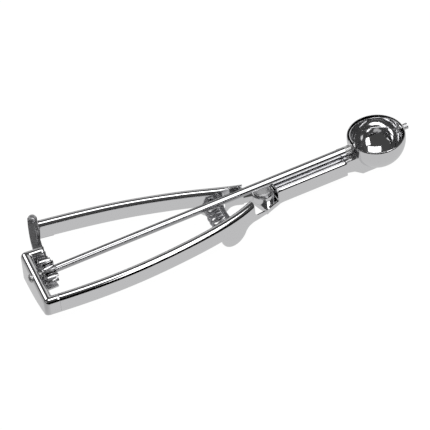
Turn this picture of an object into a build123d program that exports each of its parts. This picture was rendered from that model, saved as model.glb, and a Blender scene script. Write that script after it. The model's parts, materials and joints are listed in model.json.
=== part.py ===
from build123d import *
import os
from math import acos, cos, degrees, pi, radians, sin, sqrt, tan

# Squeeze-handle disher, in millimetres.
# The origin lies on the pivot's axis, inside the hollow rivet. +X runs along the shaft towards
# the bowl, +Z is up, out of the bowl's mouth, and the moving arm is on the +Y side.

# ---------------------------------------------------------------- driving dimensions
SHEET = 0.9                  # wall of every folded sheet piece
RUN_GAP = 0.03               # radial clearance of a shaft or pin that turns in its hole
FACE_GAP = 0.05              # axial play between faces that turn on each other
SLIDE_GAP = 0.3              # clearance between pieces that pass each other

# Bowl: a half ball with a short straight band below its rim
BOWL_RADIUS = 16.0           # outer radius
BOWL_WALL = 0.8
BOWL_BAND = 3.2              # height of the straight band above the ball's centre
BOWL_BACK = 54.2             # x of the bowl's side at the neck
SHAFT_Z = 6.7                # height of the shaft's axis above the middle of the pivot

# Shaft
SHAFT_RADIUS = 2.25
JOURNAL_RADIUS = 1.2         # rear end, in the rear bearing
JOURNAL_LENGTH = 0.5         # how far it stands out of the rear bearing
JOURNAL_CHAMFER = 0.3
SHANK_RADIUS = 1.25          # thin front end, in the front bearing
SHAFT_FRONT = 50.4           # x where the full thickness ends
RIVETED_RADIUS = 2.1         # end of the shank, spread inside the blade
RIVETED_LENGTH = 0.9

# Bearings
FRONT_BEARING_RADIUS = 1.95
REAR_BEARING_RADIUS = 1.6    # sleeve through the housing
REAR_COLLAR_RADIUS = 2.3     # collar outside the housing
REAR_COLLAR_ROUND = 0.4
REAR_BEARING_OUTSIDE = 0.9   # how far it stands out of the housing
REAR_BEARING_INSIDE = 0.65   # how far it stands past the housing's inner edge
WASHER_RADIUS = 3.6
WASHER_WALL = 0.5

# Scraper blade
BLADE_WALL = 0.6
BLADE_GAP = 0.35             # between the blade and the inside of the bowl
BLADE_WIDTH = 7.0
BLADE_TAB_RADIUS = 3.4       # round ends at the two pivots
BLADE_REST_DROP = 5.0        # degrees that the parked blade lies below the shaft's axis
BLADE_SWEEP = 170.0          # degrees that the blade turns in one squeeze

# Front blade pivot
STUB_RADIUS = 1.65
STUB_LENGTH = 3.2            # how far the rivet stands out of the bowl
STUB_ROUND = 0.55
STUB_PIN_RADIUS = 1.0
STUB_HEAD_RADIUS = 1.9
STUB_HEAD_WALL = 0.6

# Arms: folded channels, open below, with a round top edge and a round lobe at the spring
ARM_WIDTH = 5.5
ARM_TOP = 8.8
ARM_BOTTOM = -0.8
LOBE_X = -26.5
LOBE_Z = 0.1
LOBE_RADIUS = 8.7
LOBE_BLEND = 5.0             # hollow radius between the lobe and the edge towards the pivot
LOBE_TAIL_Z = -2.3           # lower edge of the webs between the lobe and the pivot

# Plan of each arm's front (-Y) face towards the pivot. Its free end is given from the rack's middle.
FIXED_FREE_END = [(-6.9, -23.5), (12.1, -25.2)]      # x from where the rack crosses the shaft's line, and y
FIXED_FACE = [(-88.0, -25.8), (-60.0, -24.2), (-37.0, -21.3), (-15.0, -15.7), (-4.0, -10.9), (6.2, -7.0)]
MOVING_FREE_END = [(-1.434, 15.509), (-28.241, 16.733)]   # radius from the rack's, and angle in degrees
MOVING_FACE = [(-70.8, 22.4), (-49.8, 15.6), (-35.1, 10.0), (-25.6, 5.9), (-11.2, 0.1)]
FIXED_TOP_END = -11.5        # x where the fixed arm's folded top stops
WEB_END = -3.4               # x where the fixed arm's front web meets the pivot plate
WEB_TAIL = [(-9.8, 0.1), (WEB_END, -2.3), (WEB_END, -4.8), (-8.7, -3.5), (-13.2, LOBE_TAIL_Z)]
#                              x and z of the fixed arm's front web past its folded top

# Pivot: a hollow rivet holds a washer and the moving arm's eye on the pivot plate
PLATE_TOP = -2.2
RIVET_BORE = 3.5             # radius of the hole through the rivet
RIVET_WALL = 0.6
RIVET_FLANGE_RADIUS = 4.7    # upper flange, on the washer
RIVET_LIP_RADIUS = 4.4       # lower flange, under the plate
RIVET_TUBE = 1.6             # how far its tube runs on below the lower flange
RIVET_FLANGE_WALL = 0.45
EYE_RADIUS = 6.3
EYE_WALL = 3.9
EYE_TONGUE = 17.5            # from the pivot to the tongue's end, inside the moving arm
EYE_TONGUE_HALF = 2.0        # half width of the tongue outside the arm
PIVOT_WASHER_RADIUS = 5.7
PIVOT_WASHER_WALL = 0.4

# Pivot plate and neck, between the arms and the bowl
PLATE_SEAM = 0.5             # between the fixed arm's front web and the plate's turned-down edge
PLATE_REAR = -6.6            # x of the turned-down rear edge's far end
PLATE_REAR_END = 4.0         # y of the turned-down rear edge's far end
PLATE_FAR = 6.3              # y of the plate's far side
PLATE_BOTTOM = -5.4          # lowest point of the turned-down edges
PLATE_TONGUE = 16.0          # x of the plate's end, inside the neck
PLATE_ROUND = 1.2            # outer bend of its turned-down edges
NECK_END = 48.6
NECK_HALF_WIDTH = 6.4
NECK_FLARE = 10.6            # x where the front side becomes straight
NECK_TOP = 3.9
NECK_BOTTOM = -5.3
NECK_ROUND = 1.4

# Saddle under the bowl
SADDLE_WALL = 1.1
SADDLE_HALF_WIDTH = 6.2
SADDLE_TOP = 3.9
SADDLE_LIFT = 0.2            # from the bowl's lowest point up to the tongue's underside
SADDLE_BEND = 53.1           # x where the underside starts to slope down
SADDLE_FOOT = 58.1           # x where the underside is flat again
SADDLE_SHORT = 3.8           # from the tongue's end to the middle of the bowl

# Rack and pinion
MODULE = 1.25
PINION_TEETH = 9
PRESSURE_ANGLE = 25.0
PINION_ADDENDUM = 0.9        # in modules
RACK_ADDENDUM = 0.8          # in modules
DEDENDUM = 1.15              # in modules
BACKLASH = 0.34              # play between the teeth along the pitch line
PINION_PAST = 0.6            # how far its end that faces the bowl stands past the rack's middle
PINION_PIN_RADIUS = 0.7
RACK_RADIUS = 124.1          # from the pivot to the middle of the rack
RACK_WIDTH = 5.2
RACK_WALL = 3.2
RACK_TEETH = 6
RACK_START_ANGLE = 0.9       # degrees from the shaft's line to the rack's inner end
RACK_SCREW_ANGLE = 23.0      # degrees from the shaft's line to the stop screw
RACK_LUG = 9.0               # length of the lug inside the moving arm
RACK_LUG_TOP = 4.6
RACK_LUG_DEPTH = 1.5         # how far the lug overlaps the rack's side, down from its top face
SCREW_HEAD_RADIUS = 2.1
SCREW_HEAD_WALL = 1.5
SCREW_SHANK_RADIUS = 1.25
SCREW_SLOT = 0.6

# End housing: corners of its outer face, from the fixed arm to the free end, with x from where the rack
# crosses the shaft's line
HOUSING_FACE = [(-15.2, -22.75), (-10.4, 19.6), (1.5, 18.5)]
HOUSING_ROUND = 3.0          # outer corners
HOUSING_INNER_ROUND = 0.8    # inner corners
HOUSING_REAR_BOTTOM = -8.0   # at the corner far from the fixed arm
HOUSING_MID_BOTTOM = -7.0    # on the shaft's line
HOUSING_CURL = 4.0           # height of the inner edge of the rolled rim
GUIDE_WALL = 1.0
GUIDE_START = -1.8           # y of the rack guide's front edge
SPLICE_WALL = 0.7
SPLICE_IN_HOUSING = 3.0      # how far it reaches into the housing
SPLICE_IN_ARM = 4.5          # how far it reaches into the arm

# Spring between the arms
SPRING_Z = -1.7
SPRING_RADIUS = 5.5          # outer radius
SPRING_WIRE = 0.65           # radius of the wire
SPRING_TURNS = 6.5
SPRING_START = -15.0         # y of the end at the fixed arm
SPRING_END = 6.0             # y of the end at the moving arm
SPRING_CLEAR = 0.4           # between the spring and the holes it passes
SEAT_RADIUS = 6.0
SEAT_WALL = 0.7
SEAT_BOSS_RADIUS = 2.8
SEAT_BOSS = 3.2

# ---------------------------------------------------------------- worked-out sizes
ARM_ROUND = ARM_WIDTH / 2 - FACE_GAP                 # radius of the arms' rounded top edges


def from_rack(points):
    """Plan points whose x is given from where the rack's middle crosses the shaft's line."""
    return [(x - RACK_RADIUS, y) for x, y in points]


def rack_point(radius, angle):
    """Point in plan at a radius from the pivot, turned from the shaft's line towards +Y."""
    return (-radius * cos(radians(angle)), radius * sin(radians(angle)))


fixed_face = from_rack(FIXED_FREE_END) + FIXED_FACE
moving_face = [rack_point(RACK_RADIUS + radius, angle) for radius, angle in MOVING_FREE_END] + MOVING_FACE
housing_line = [fixed_face[0], *from_rack(HOUSING_FACE)]
housing_corner, housing_rear, housing_return = housing_line[1:]
HOUSING_LEAN = (housing_rear[0] - housing_corner[0]) / (housing_rear[1] - housing_corner[1])
HOUSING_X = housing_corner[0] - housing_corner[1] * HOUSING_LEAN     # outer face on the shaft's line
HOUSING_ROOM_X = HOUSING_X + ARM_WIDTH * sqrt(1 + HOUSING_LEAN ** 2)   # inner edge on the shaft's line
REAR_BEARING_START = HOUSING_X - REAR_BEARING_OUTSIDE
REAR_BEARING_END = HOUSING_ROOM_X + REAR_BEARING_INSIDE
JOURNAL_END = REAR_BEARING_START - JOURNAL_LENGTH
PINION_END = PINION_PAST - RACK_RADIUS

PITCH_RADIUS = MODULE * PINION_TEETH / 2
BASE_RADIUS = PITCH_RADIUS * cos(radians(PRESSURE_ANGLE))
PINION_TIP = PITCH_RADIUS + PINION_ADDENDUM * MODULE
PINION_ROOT = PITCH_RADIUS - DEDENDUM * MODULE
SQUEEZE = BLADE_SWEEP * PITCH_RADIUS / RACK_RADIUS   # degrees that the moving arm turns
RACK_PITCH_Z = SHAFT_Z - PITCH_RADIUS
RACK_TIP_Z = RACK_PITCH_Z + RACK_ADDENDUM * MODULE
RACK_TOP = RACK_PITCH_Z - DEDENDUM * MODULE
RACK_BOTTOM = RACK_TOP - RACK_WALL
RACK_INNER = RACK_RADIUS - RACK_WIDTH / 2
RACK_OUTER = RACK_RADIUS + RACK_WIDTH / 2
TOOTH_ANGLE = degrees(pi * MODULE / RACK_RADIUS)
TOOTH_HALF = pi * MODULE / 4 - BACKLASH / 4          # half thickness on the pitch line
FLANK_SLOPE = tan(radians(PRESSURE_ANGLE))

RIVET_RADIUS = RIVET_BORE + RIVET_WALL
EYE_BOTTOM = PLATE_TOP + FACE_GAP
WASHER_BOTTOM = EYE_BOTTOM + EYE_WALL + FACE_GAP
FLANGE_BOTTOM = WASHER_BOTTOM + PIVOT_WASHER_WALL
RIVET_TOP = FLANGE_BOTTOM + RIVET_FLANGE_WALL
RIVET_LIP_BOTTOM = PLATE_TOP - SHEET - RIVET_FLANGE_WALL
RIVET_BOTTOM = RIVET_LIP_BOTTOM - RIVET_TUBE

BOWL_X = BOWL_BACK + BOWL_RADIUS
BOWL_INNER = BOWL_RADIUS - BOWL_WALL
SADDLE_BOTTOM = SHAFT_Z - BOWL_RADIUS + SADDLE_LIFT
SADDLE_TIP = BOWL_X - SADDLE_SHORT
BLADE_OUTER = BOWL_INNER - BLADE_GAP
BLADE_INNER = BLADE_OUTER - BLADE_WALL
SHAFT_REAR = REAR_BEARING_END + FACE_GAP
PINION_START = SHAFT_REAR + WASHER_WALL + FACE_GAP
ROD_CLEAR_Z = SHAFT_Z - SHAFT_RADIUS - SLIDE_GAP
CHANNEL_CORE = ARM_WIDTH - 2 * SHEET                 # room between an arm's two webs
HOUSING_WEB_DEPTH = ARM_WIDTH - SHEET - FACE_GAP     # behind the outer face, just short of the inner edge
FAR = 80.0                   # longer than any piece is wide or high, for cutting right through
STATION_STEP = 1e-9          # share of a path's length within which a place on it is found

BOWL_CENTRE = Vector(BOWL_X, 0, SHAFT_Z)

os.makedirs("parts", exist_ok=True)


def finish(name, part):
    """Name a finished piece and write it to its own file."""
    part.label = name
    export_step(part, f"parts/{name}.step")


def across_shaft(x):
    """Plane across the shaft's axis at x: local x is +Y, local y is +Z, its normal is +X."""
    return Plane(origin=(x, 0, SHAFT_Z), x_dir=(0, 1, 0), z_dir=(1, 0, 0))


def shaft_length(radius, start, end):
    """Plain round length on the shaft's axis."""
    with BuildPart() as length:
        with BuildSketch(across_shaft(start)):
            Circle(radius)
        extrude(amount=end - start)
    return length.part


def face_path(points):
    """Smooth plan line of an arm's front face."""
    with BuildLine() as line:
        Spline(*points)
    return line.edge()


def station(path, x):
    """Place along a path, from 0 to 1, where it reaches x."""
    low, high = 0.0, 1.0
    while high - low > STATION_STEP:
        middle = (low + high) / 2
        if (path @ middle).X < x:
            low = middle
        else:
            high = middle
    return low


def section_plane(path):
    """Plane across the start of a path: local x points towards +Y, local y is up."""
    return Plane(origin=path @ 0, x_dir=(path % 0).cross(Vector(0, 0, -1)), z_dir=path % 0)


def web_plane(path, x, depth):
    """Plane along an arm at the spring's height, its normal towards +Y, depth behind the face."""
    place = station(path, x)
    along = path % place
    inward = along.cross(Vector(0, 0, -1))
    return Plane(origin=path @ place + Vector(0, 0, SPRING_Z) + inward * depth, x_dir=along, z_dir=inward)


def channel(path, width, wall, low, top, inset=0.0):
    """Strip folded over a round top: two webs along a path, open below."""
    near = inset + wall / 2
    far = near + width - wall
    crown = top - wall / 2
    with BuildPart() as fold:
        with BuildSketch(section_plane(path)):
            with BuildLine():
                FilletPolyline((near, low), (near, crown), (far, crown), (far, low),
                               radius=min(ARM_ROUND, width / 2) - wall / 2 - FACE_GAP)
            trace(line_width=wall)
        sweep(path=path)
    return fold.part


def turned_edge(path, low, top, bend, run):
    """Edge strip of a plate, turned down along a path with a rounded bend."""
    with BuildPart() as edge:
        with BuildSketch(section_plane(path)):
            with BuildLine():
                FilletPolyline((SHEET / 2, low), (SHEET / 2, top - SHEET / 2), (run, top - SHEET / 2),
                               radius=bend - SHEET / 2)
            trace(line_width=SHEET)
        sweep(path=path)
    return edge.part


def lobed_web(path, inset, tail):
    """Round lobe of one web, with a tail towards the pivot, cut from a strip along the path."""
    with BuildPart() as web:
        with BuildSketch(section_plane(path)):
            with Locations((inset + SHEET / 2, 0)):
                Rectangle(SHEET, 2 * LOBE_RADIUS + SHEET)
        sweep(path=path)
        with BuildSketch(Plane.XZ) as side:
            with Locations((LOBE_X, LOBE_Z)):
                Circle(LOBE_RADIUS)
            with BuildLine():
                Polyline((LOBE_X, LOBE_TAIL_Z), (LOBE_X, ARM_ROUND), *tail, close=True)
            make_face()
            root = side.vertices().sort_by_distance((LOBE_X + LOBE_RADIUS, LOBE_TAIL_Z, 0))[0]
            fillet(root, LOBE_BLEND)
        extrude(amount=FAR, both=True, mode=Mode.INTERSECT)
    return web.part


def spring_bore(path, keep):
    """Room that the spring needs through the inner web, on one side of the arm's middle."""
    with BuildPart() as bore:
        with BuildSketch(Plane.XZ):
            with Locations((LOBE_X, SPRING_Z)):
                Circle(SPRING_RADIUS + SPRING_CLEAR)
        extrude(amount=FAR, both=True)
        split(bisect_by=web_plane(path, LOBE_X, ARM_WIDTH / 2), keep=keep)
    return bore.part


def spring_seat(plane, arm):
    """Pressed seat on an arm's outer web: a round plate with a boss that centres the spring's end."""
    with BuildPart() as seat:
        with BuildSketch(plane.offset(-SHEET / 2)):
            Circle(SEAT_RADIUS)
        extrude(amount=SHEET / 2 + SEAT_WALL)
        with BuildSketch(plane.offset(SEAT_WALL)):
            Circle(SEAT_BOSS_RADIUS)
        extrude(amount=SEAT_BOSS)
        fillet(seat.edges().group_by(Axis(plane.origin, plane.z_dir))[-1], SEAT_WALL)
        add(arm, mode=Mode.SUBTRACT)
    return seat.part


def inner_corner(before, corner, after, depth):
    """Corner of a bent line, moved in by depth from both of its legs."""
    back = (Vector(before) - Vector(corner)).normalized()
    ahead = (Vector(after) - Vector(corner)).normalized()
    return Vector(corner) + (back + ahead) * (depth / back.cross(ahead).length)


def inner_end(end, neighbour, depth, side):
    """End of a bent line, moved square to its leg by depth; side is +1 or -1."""
    leg = (Vector(neighbour) - Vector(end)).normalized()
    return Vector(end) + Vector(-leg.Y, leg.X) * depth * side


def housing_band():
    """Solid bar in plan behind the housing's outer line, its long top edges rounded like the arms'."""
    bends = [inner_corner(housing_corner, housing_rear, housing_return, ARM_WIDTH),
             inner_corner(fixed_face[0], housing_corner, housing_rear, ARM_WIDTH)]
    with BuildPart() as band:
        with BuildSketch(Plane.XY.offset(HOUSING_REAR_BOTTOM)):
            with BuildLine():
                FilletPolyline(*housing_line, radius=HOUSING_ROUND)
                Polyline(housing_return, inner_end(housing_return, housing_rear, ARM_WIDTH, 1), *bends,
                         inner_end(fixed_face[0], housing_corner, ARM_WIDTH, -1), fixed_face[0])
            make_face()
        extrude(amount=ARM_TOP - HOUSING_REAR_BOTTOM)
        upright = band.edges().filter_by(Axis.Z)
        fillet([upright.sort_by_distance(bend)[0] for bend in bends], HOUSING_INNER_ROUND)
        crown = band.faces().sort_by(Axis.Z)[-1]
        fillet(crown.edges().filter_by(lambda edge: abs(edge.length - ARM_WIDTH) > RUN_GAP),
               ARM_ROUND - FACE_GAP)
    return band.part


def lug_outline(path, start, end):
    """Corners in plan of the space between an arm's webs, between two distances along its path."""
    corners = []
    for distance in (start, end):
        place = distance / path.length
        inward = (path % place).cross(Vector(0, 0, -1))
        corners.append([path @ place + inward * depth for depth in (SHEET, ARM_WIDTH - SHEET)])
    return [*corners[0], *reversed(corners[1])]


fixed_path = face_path(fixed_face)
moving_path = face_path(moving_face)

# ---------------------------------------------------------------- bowl and scraper
rim = SHAFT_Z + BOWL_BAND
inner = BOWL_X + BOWL_INNER
outer = BOWL_X + BOWL_RADIUS
with BuildPart() as bowl:
    with BuildSketch(Plane.XZ):
        with BuildLine():
            Line((inner, rim), (inner, SHAFT_Z))
            RadiusArc((inner, SHAFT_Z), (BOWL_X, SHAFT_Z - BOWL_INNER), BOWL_INNER)
            Line((BOWL_X, SHAFT_Z - BOWL_INNER), (BOWL_X, SHAFT_Z - BOWL_RADIUS))
            RadiusArc((BOWL_X, SHAFT_Z - BOWL_RADIUS), (outer, SHAFT_Z), -BOWL_RADIUS)
            Line((outer, SHAFT_Z), (outer, rim))
            Line((outer, rim), (inner, rim))
        make_face()
    revolve(axis=Axis(BOWL_CENTRE, (0, 0, 1)))
    fillet(bowl.edges().group_by(Axis.Z)[-1], BOWL_WALL / 2 - RUN_GAP)
    with BuildSketch(across_shaft(BOWL_X)):
        Circle(FRONT_BEARING_RADIUS)
    extrude(amount=-2 * BOWL_RADIUS, mode=Mode.SUBTRACT)
    with BuildSketch(across_shaft(BOWL_X)):
        Circle(STUB_PIN_RADIUS)
    extrude(amount=2 * BOWL_RADIUS, mode=Mode.SUBTRACT)
finish("bowl", bowl.part)

# The blade is built lying below the shaft, then turned up to where it parks.
with BuildPart() as blade_band:
    with Locations(BOWL_CENTRE):
        Sphere(BLADE_OUTER)
        Sphere(BLADE_INNER, mode=Mode.SUBTRACT)
    with BuildSketch(Plane.XY.offset(SHAFT_Z)):
        with Locations((BOWL_X, 0)):
            Rectangle(2 * BLADE_OUTER, BLADE_WIDTH)
    extrude(amount=-BLADE_OUTER - BLADE_GAP, mode=Mode.INTERSECT)

with BuildPart() as blade_ends:
    with Locations(BOWL_CENTRE):
        Sphere(BLADE_OUTER)
        Sphere(BLADE_INNER, mode=Mode.SUBTRACT)
    with BuildSketch(across_shaft(BOWL_X)):
        Circle(BLADE_TAB_RADIUS)
    extrude(amount=BOWL_RADIUS, both=True, mode=Mode.INTERSECT)

with BuildPart() as scraper_blade:
    add(blade_band.part)
    add(blade_ends.part)
    with BuildSketch(across_shaft(BOWL_X)):
        Circle(STUB_PIN_RADIUS + RUN_GAP)
    extrude(amount=BOWL_RADIUS, mode=Mode.SUBTRACT)
    with BuildSketch(across_shaft(BOWL_X)):
        Circle(SHANK_RADIUS)
    extrude(amount=-BOWL_RADIUS, mode=Mode.SUBTRACT)
finish("scraper_blade", scraper_blade.part.rotate(Axis(BOWL_CENTRE, (1, 0, 0)), 90 - BLADE_REST_DROP))

head_start = BOWL_X + BLADE_INNER - BLADE_GAP - STUB_HEAD_WALL
head_end = head_start + STUB_HEAD_WALL
stub_end = BOWL_X + BOWL_RADIUS + STUB_LENGTH
pin_foot = BOWL_X + sqrt(BOWL_RADIUS ** 2 - STUB_PIN_RADIUS ** 2)
stub_foot = BOWL_X + sqrt(BOWL_RADIUS ** 2 - STUB_RADIUS ** 2)
with BuildPart() as blade_pivot_rivet:
    with BuildSketch(Plane.XZ):
        with BuildLine():
            Polyline((pin_foot, SHAFT_Z + STUB_PIN_RADIUS), (head_end, SHAFT_Z + STUB_PIN_RADIUS),
                     (head_end, SHAFT_Z + STUB_HEAD_RADIUS), (head_start, SHAFT_Z + STUB_HEAD_RADIUS),
                     (head_start, SHAFT_Z), (stub_end, SHAFT_Z), (stub_end, SHAFT_Z + STUB_RADIUS),
                     (stub_foot, SHAFT_Z + STUB_RADIUS))
            RadiusArc((stub_foot, SHAFT_Z + STUB_RADIUS), (pin_foot, SHAFT_Z + STUB_PIN_RADIUS), -BOWL_RADIUS)
        make_face()
    revolve(axis=Axis(BOWL_CENTRE, (1, 0, 0)))
    fillet(blade_pivot_rivet.edges().group_by(Axis.X)[-1], STUB_ROUND)
    add(bowl.part, mode=Mode.SUBTRACT)
finish("blade_pivot_rivet", blade_pivot_rivet.part)

with BuildPart() as front_bearing:
    add(shaft_length(FRONT_BEARING_RADIUS, SHAFT_FRONT + FACE_GAP, BOWL_X - BLADE_OUTER - BLADE_GAP / 2))
    with BuildSketch(across_shaft(SHAFT_FRONT)):
        Circle(SHANK_RADIUS + RUN_GAP)
    extrude(amount=BOWL_RADIUS, mode=Mode.SUBTRACT)
finish("front_bearing", front_bearing.part)

# ---------------------------------------------------------------- shaft and pinion
pin_x = (PINION_START + PINION_END) / 2
with BuildPart() as pinion_pin:
    with BuildSketch(Plane.XY.offset(SHAFT_Z - PINION_ROOT + RUN_GAP)):
        with Locations((pin_x, 0)):
            Circle(PINION_PIN_RADIUS)
    extrude(amount=2 * PINION_ROOT - 2 * RUN_GAP)
finish("pinion_pin", pinion_pin.part)

with BuildPart() as shaft:
    add(shaft_length(JOURNAL_RADIUS, JOURNAL_END, SHAFT_REAR))
    add(shaft_length(SHAFT_RADIUS, SHAFT_REAR, SHAFT_FRONT))
    blade_face = BOWL_X - BLADE_INNER
    add(shaft_length(SHANK_RADIUS, SHAFT_FRONT, blade_face + RIVETED_LENGTH))
    add(shaft_length(RIVETED_RADIUS, blade_face + BLADE_GAP, blade_face + BLADE_GAP + RIVETED_LENGTH))
    chamfer(shaft.edges().group_by(Axis.X)[0], JOURNAL_CHAMFER)
    add(pinion_pin.part, mode=Mode.SUBTRACT)
finish("shaft", shaft.part)


def involute_angle(radius):
    """Half angle of a pinion tooth at a radius."""
    roll = acos(min(1.0, BASE_RADIUS / radius))
    pressure = radians(PRESSURE_ANGLE)
    return TOOTH_HALF / PITCH_RADIUS + tan(pressure) - pressure - tan(roll) + roll


def flank(side):
    """Points of one side of the tooth that points up, from the base circle to the tip."""
    steps = 4
    radii = [BASE_RADIUS + (PINION_TIP - BASE_RADIUS) * step / steps for step in range(steps + 1)]
    return [(side * r * sin(involute_angle(r)), r * cos(involute_angle(r))) for r in radii]


with BuildSketch() as pinion_tooth:
    with BuildLine():
        right = Spline(*flank(1))
        left = Spline(*flank(-1))
        Line(right @ 1, left @ 1)
        foot = PINION_ROOT / 2 * sin(involute_angle(BASE_RADIUS))
        Polyline(right @ 0, (foot, PINION_ROOT / 2), (-foot, PINION_ROOT / 2), left @ 0)
    make_face()

with BuildPart() as pinion:
    with BuildSketch(across_shaft(PINION_START)):
        Circle(PINION_ROOT)
        with PolarLocations(0, PINION_TEETH):
            add(pinion_tooth.sketch)
    extrude(amount=PINION_END - PINION_START)
    with BuildSketch(across_shaft(PINION_START)):
        Circle(SHAFT_RADIUS)
    extrude(amount=PINION_END - PINION_START, mode=Mode.SUBTRACT)
    add(pinion_pin.part, mode=Mode.SUBTRACT)
finish("pinion", pinion.part)

with BuildPart() as shaft_washer:
    add(shaft_length(WASHER_RADIUS, SHAFT_REAR, SHAFT_REAR + WASHER_WALL))
    add(shaft_length(SHAFT_RADIUS, SHAFT_REAR, SHAFT_REAR + WASHER_WALL), mode=Mode.SUBTRACT)
finish("shaft_washer", shaft_washer.part)

# ---------------------------------------------------------------- fixed arm
front_tail = [(FIXED_TOP_END, ARM_ROUND), *WEB_TAIL]
inner_tail = [(FIXED_TOP_END, ARM_ROUND), (FIXED_TOP_END, LOBE_TAIL_Z)]
with BuildPart() as fixed_arm:
    add(channel(fixed_path, ARM_WIDTH, SHEET, ARM_BOTTOM, ARM_TOP))
    with BuildSketch(Plane.YZ.offset(FIXED_TOP_END)):
        Rectangle(2 * FAR, 2 * FAR)
    extrude(amount=FAR, mode=Mode.SUBTRACT)
    add(lobed_web(fixed_path, 0, front_tail))
    add(lobed_web(fixed_path, ARM_WIDTH - SHEET, inner_tail))
    add(spring_bore(fixed_path, Keep.TOP), mode=Mode.SUBTRACT)
finish("fixed_arm", fixed_arm.part)

finish("spring_seat_fixed", spring_seat(web_plane(fixed_path, LOBE_X, SHEET), fixed_arm.part))

# ---------------------------------------------------------------- end housing
# Ring that the rack sweeps on the moving arm's side, with room round it
with BuildPart() as rack_room:
    with BuildSketch(Plane.XY.offset(RACK_BOTTOM - SLIDE_GAP)):
        Circle(RACK_OUTER + SLIDE_GAP)
        Circle(RACK_INNER - HOUSING_ROUND, mode=Mode.SUBTRACT)
    extrude(amount=RACK_TIP_Z - RACK_BOTTOM + 2 * SLIDE_GAP)
    split(bisect_by=Plane.XZ, keep=Keep.BOTTOM)

inner_line = [inner_end(housing_return, housing_rear, HOUSING_WEB_DEPTH, 1),
              inner_corner(housing_corner, housing_rear, housing_return, HOUSING_WEB_DEPTH),
              inner_corner(fixed_face[0], housing_corner, housing_rear, HOUSING_WEB_DEPTH),
              inner_end(fixed_face[0], housing_corner, HOUSING_WEB_DEPTH, -1)]
with BuildPart() as end_housing:
    add(housing_band())
    flats = end_housing.faces().filter_by(GeomType.PLANE)
    open_faces = [end_housing.faces().sort_by(Axis.Z)[0]]
    open_faces += [flats.sort_by_distance(end)[0] for end in (fixed_face[0], housing_return)]
    offset(amount=-SHEET, openings=open_faces)
    with BuildSketch(Plane.XY.offset(HOUSING_CURL)):
        with BuildLine():
            Polyline(*inner_line, (FIXED_TOP_END, housing_corner[1]), (FIXED_TOP_END, housing_rear[1]),
                     close=True)
        make_face()
    extrude(amount=-FAR, mode=Mode.SUBTRACT)
    with BuildSketch(Plane.YZ):
        with BuildLine():
            low_edge = ThreePointArc((housing_corner[1], ARM_BOTTOM), (0, HOUSING_MID_BOTTOM),
                                     (housing_rear[1], HOUSING_REAR_BOTTOM))
            Polyline(low_edge @ 1, (FAR, HOUSING_REAR_BOTTOM), (FAR, -FAR), (-FAR, -FAR),
                     (-FAR, ARM_BOTTOM), low_edge @ 0)
        make_face()
    extrude(amount=2 * FAR, both=True, mode=Mode.SUBTRACT)
    add(shaft_length(REAR_BEARING_RADIUS, JOURNAL_END, REAR_BEARING_END + WASHER_WALL), mode=Mode.SUBTRACT)
    add(rack_room.part, mode=Mode.SUBTRACT)
finish("end_housing", end_housing.part)

with BuildPart() as rear_bearing:
    add(shaft_length(REAR_COLLAR_RADIUS, REAR_BEARING_START, HOUSING_X))
    fillet(rear_bearing.edges().group_by(Axis.X)[0], REAR_COLLAR_ROUND)
    add(end_housing.part, mode=Mode.SUBTRACT)
    add(shaft_length(REAR_BEARING_RADIUS, REAR_BEARING_START, REAR_BEARING_END))
    add(shaft_length(JOURNAL_RADIUS + RUN_GAP, JOURNAL_END, REAR_BEARING_END), mode=Mode.SUBTRACT)
finish("rear_bearing", rear_bearing.part)

with BuildPart() as rack_guide:
    guide_rear = inner_corner(housing_corner, housing_rear, housing_return, SHEET / 2)
    guide_side = inner_end(housing_return, housing_rear, SHEET / 2, 1)
    wall_run = guide_rear - inner_corner(fixed_face[0], housing_corner, housing_rear, SHEET / 2)
    guide_front = guide_rear + wall_run * ((GUIDE_START - guide_rear.Y) / wall_run.Y)
    with BuildSketch(Plane.XY.offset(RACK_BOTTOM - SLIDE_GAP)) as guide_outline:
        with BuildLine():
            Polyline(guide_front, guide_rear, guide_side, (guide_side.X, GUIDE_START), close=True)
        make_face()
        fillet(guide_outline.vertices().sort_by_distance(guide_rear)[0], HOUSING_ROUND - SHEET / 2)
    extrude(amount=-GUIDE_WALL)
    add(end_housing.part, mode=Mode.SUBTRACT)
finish("rack_guide", rack_guide.part)

with BuildPart() as housing_splice:
    splice_path = fixed_path.trim(0.0, station(fixed_path, fixed_face[0][0] + SPLICE_IN_ARM))
    add(channel(splice_path, CHANNEL_CORE, SPLICE_WALL, ARM_BOTTOM + SHEET, ARM_TOP - SHEET, SHEET))
    back_face = housing_splice.faces().sort_by(Axis.X)[0]
    extrude(back_face, amount=SPLICE_IN_HOUSING)
    add(end_housing.part, mode=Mode.SUBTRACT)
finish("housing_splice", housing_splice.part)

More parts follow.
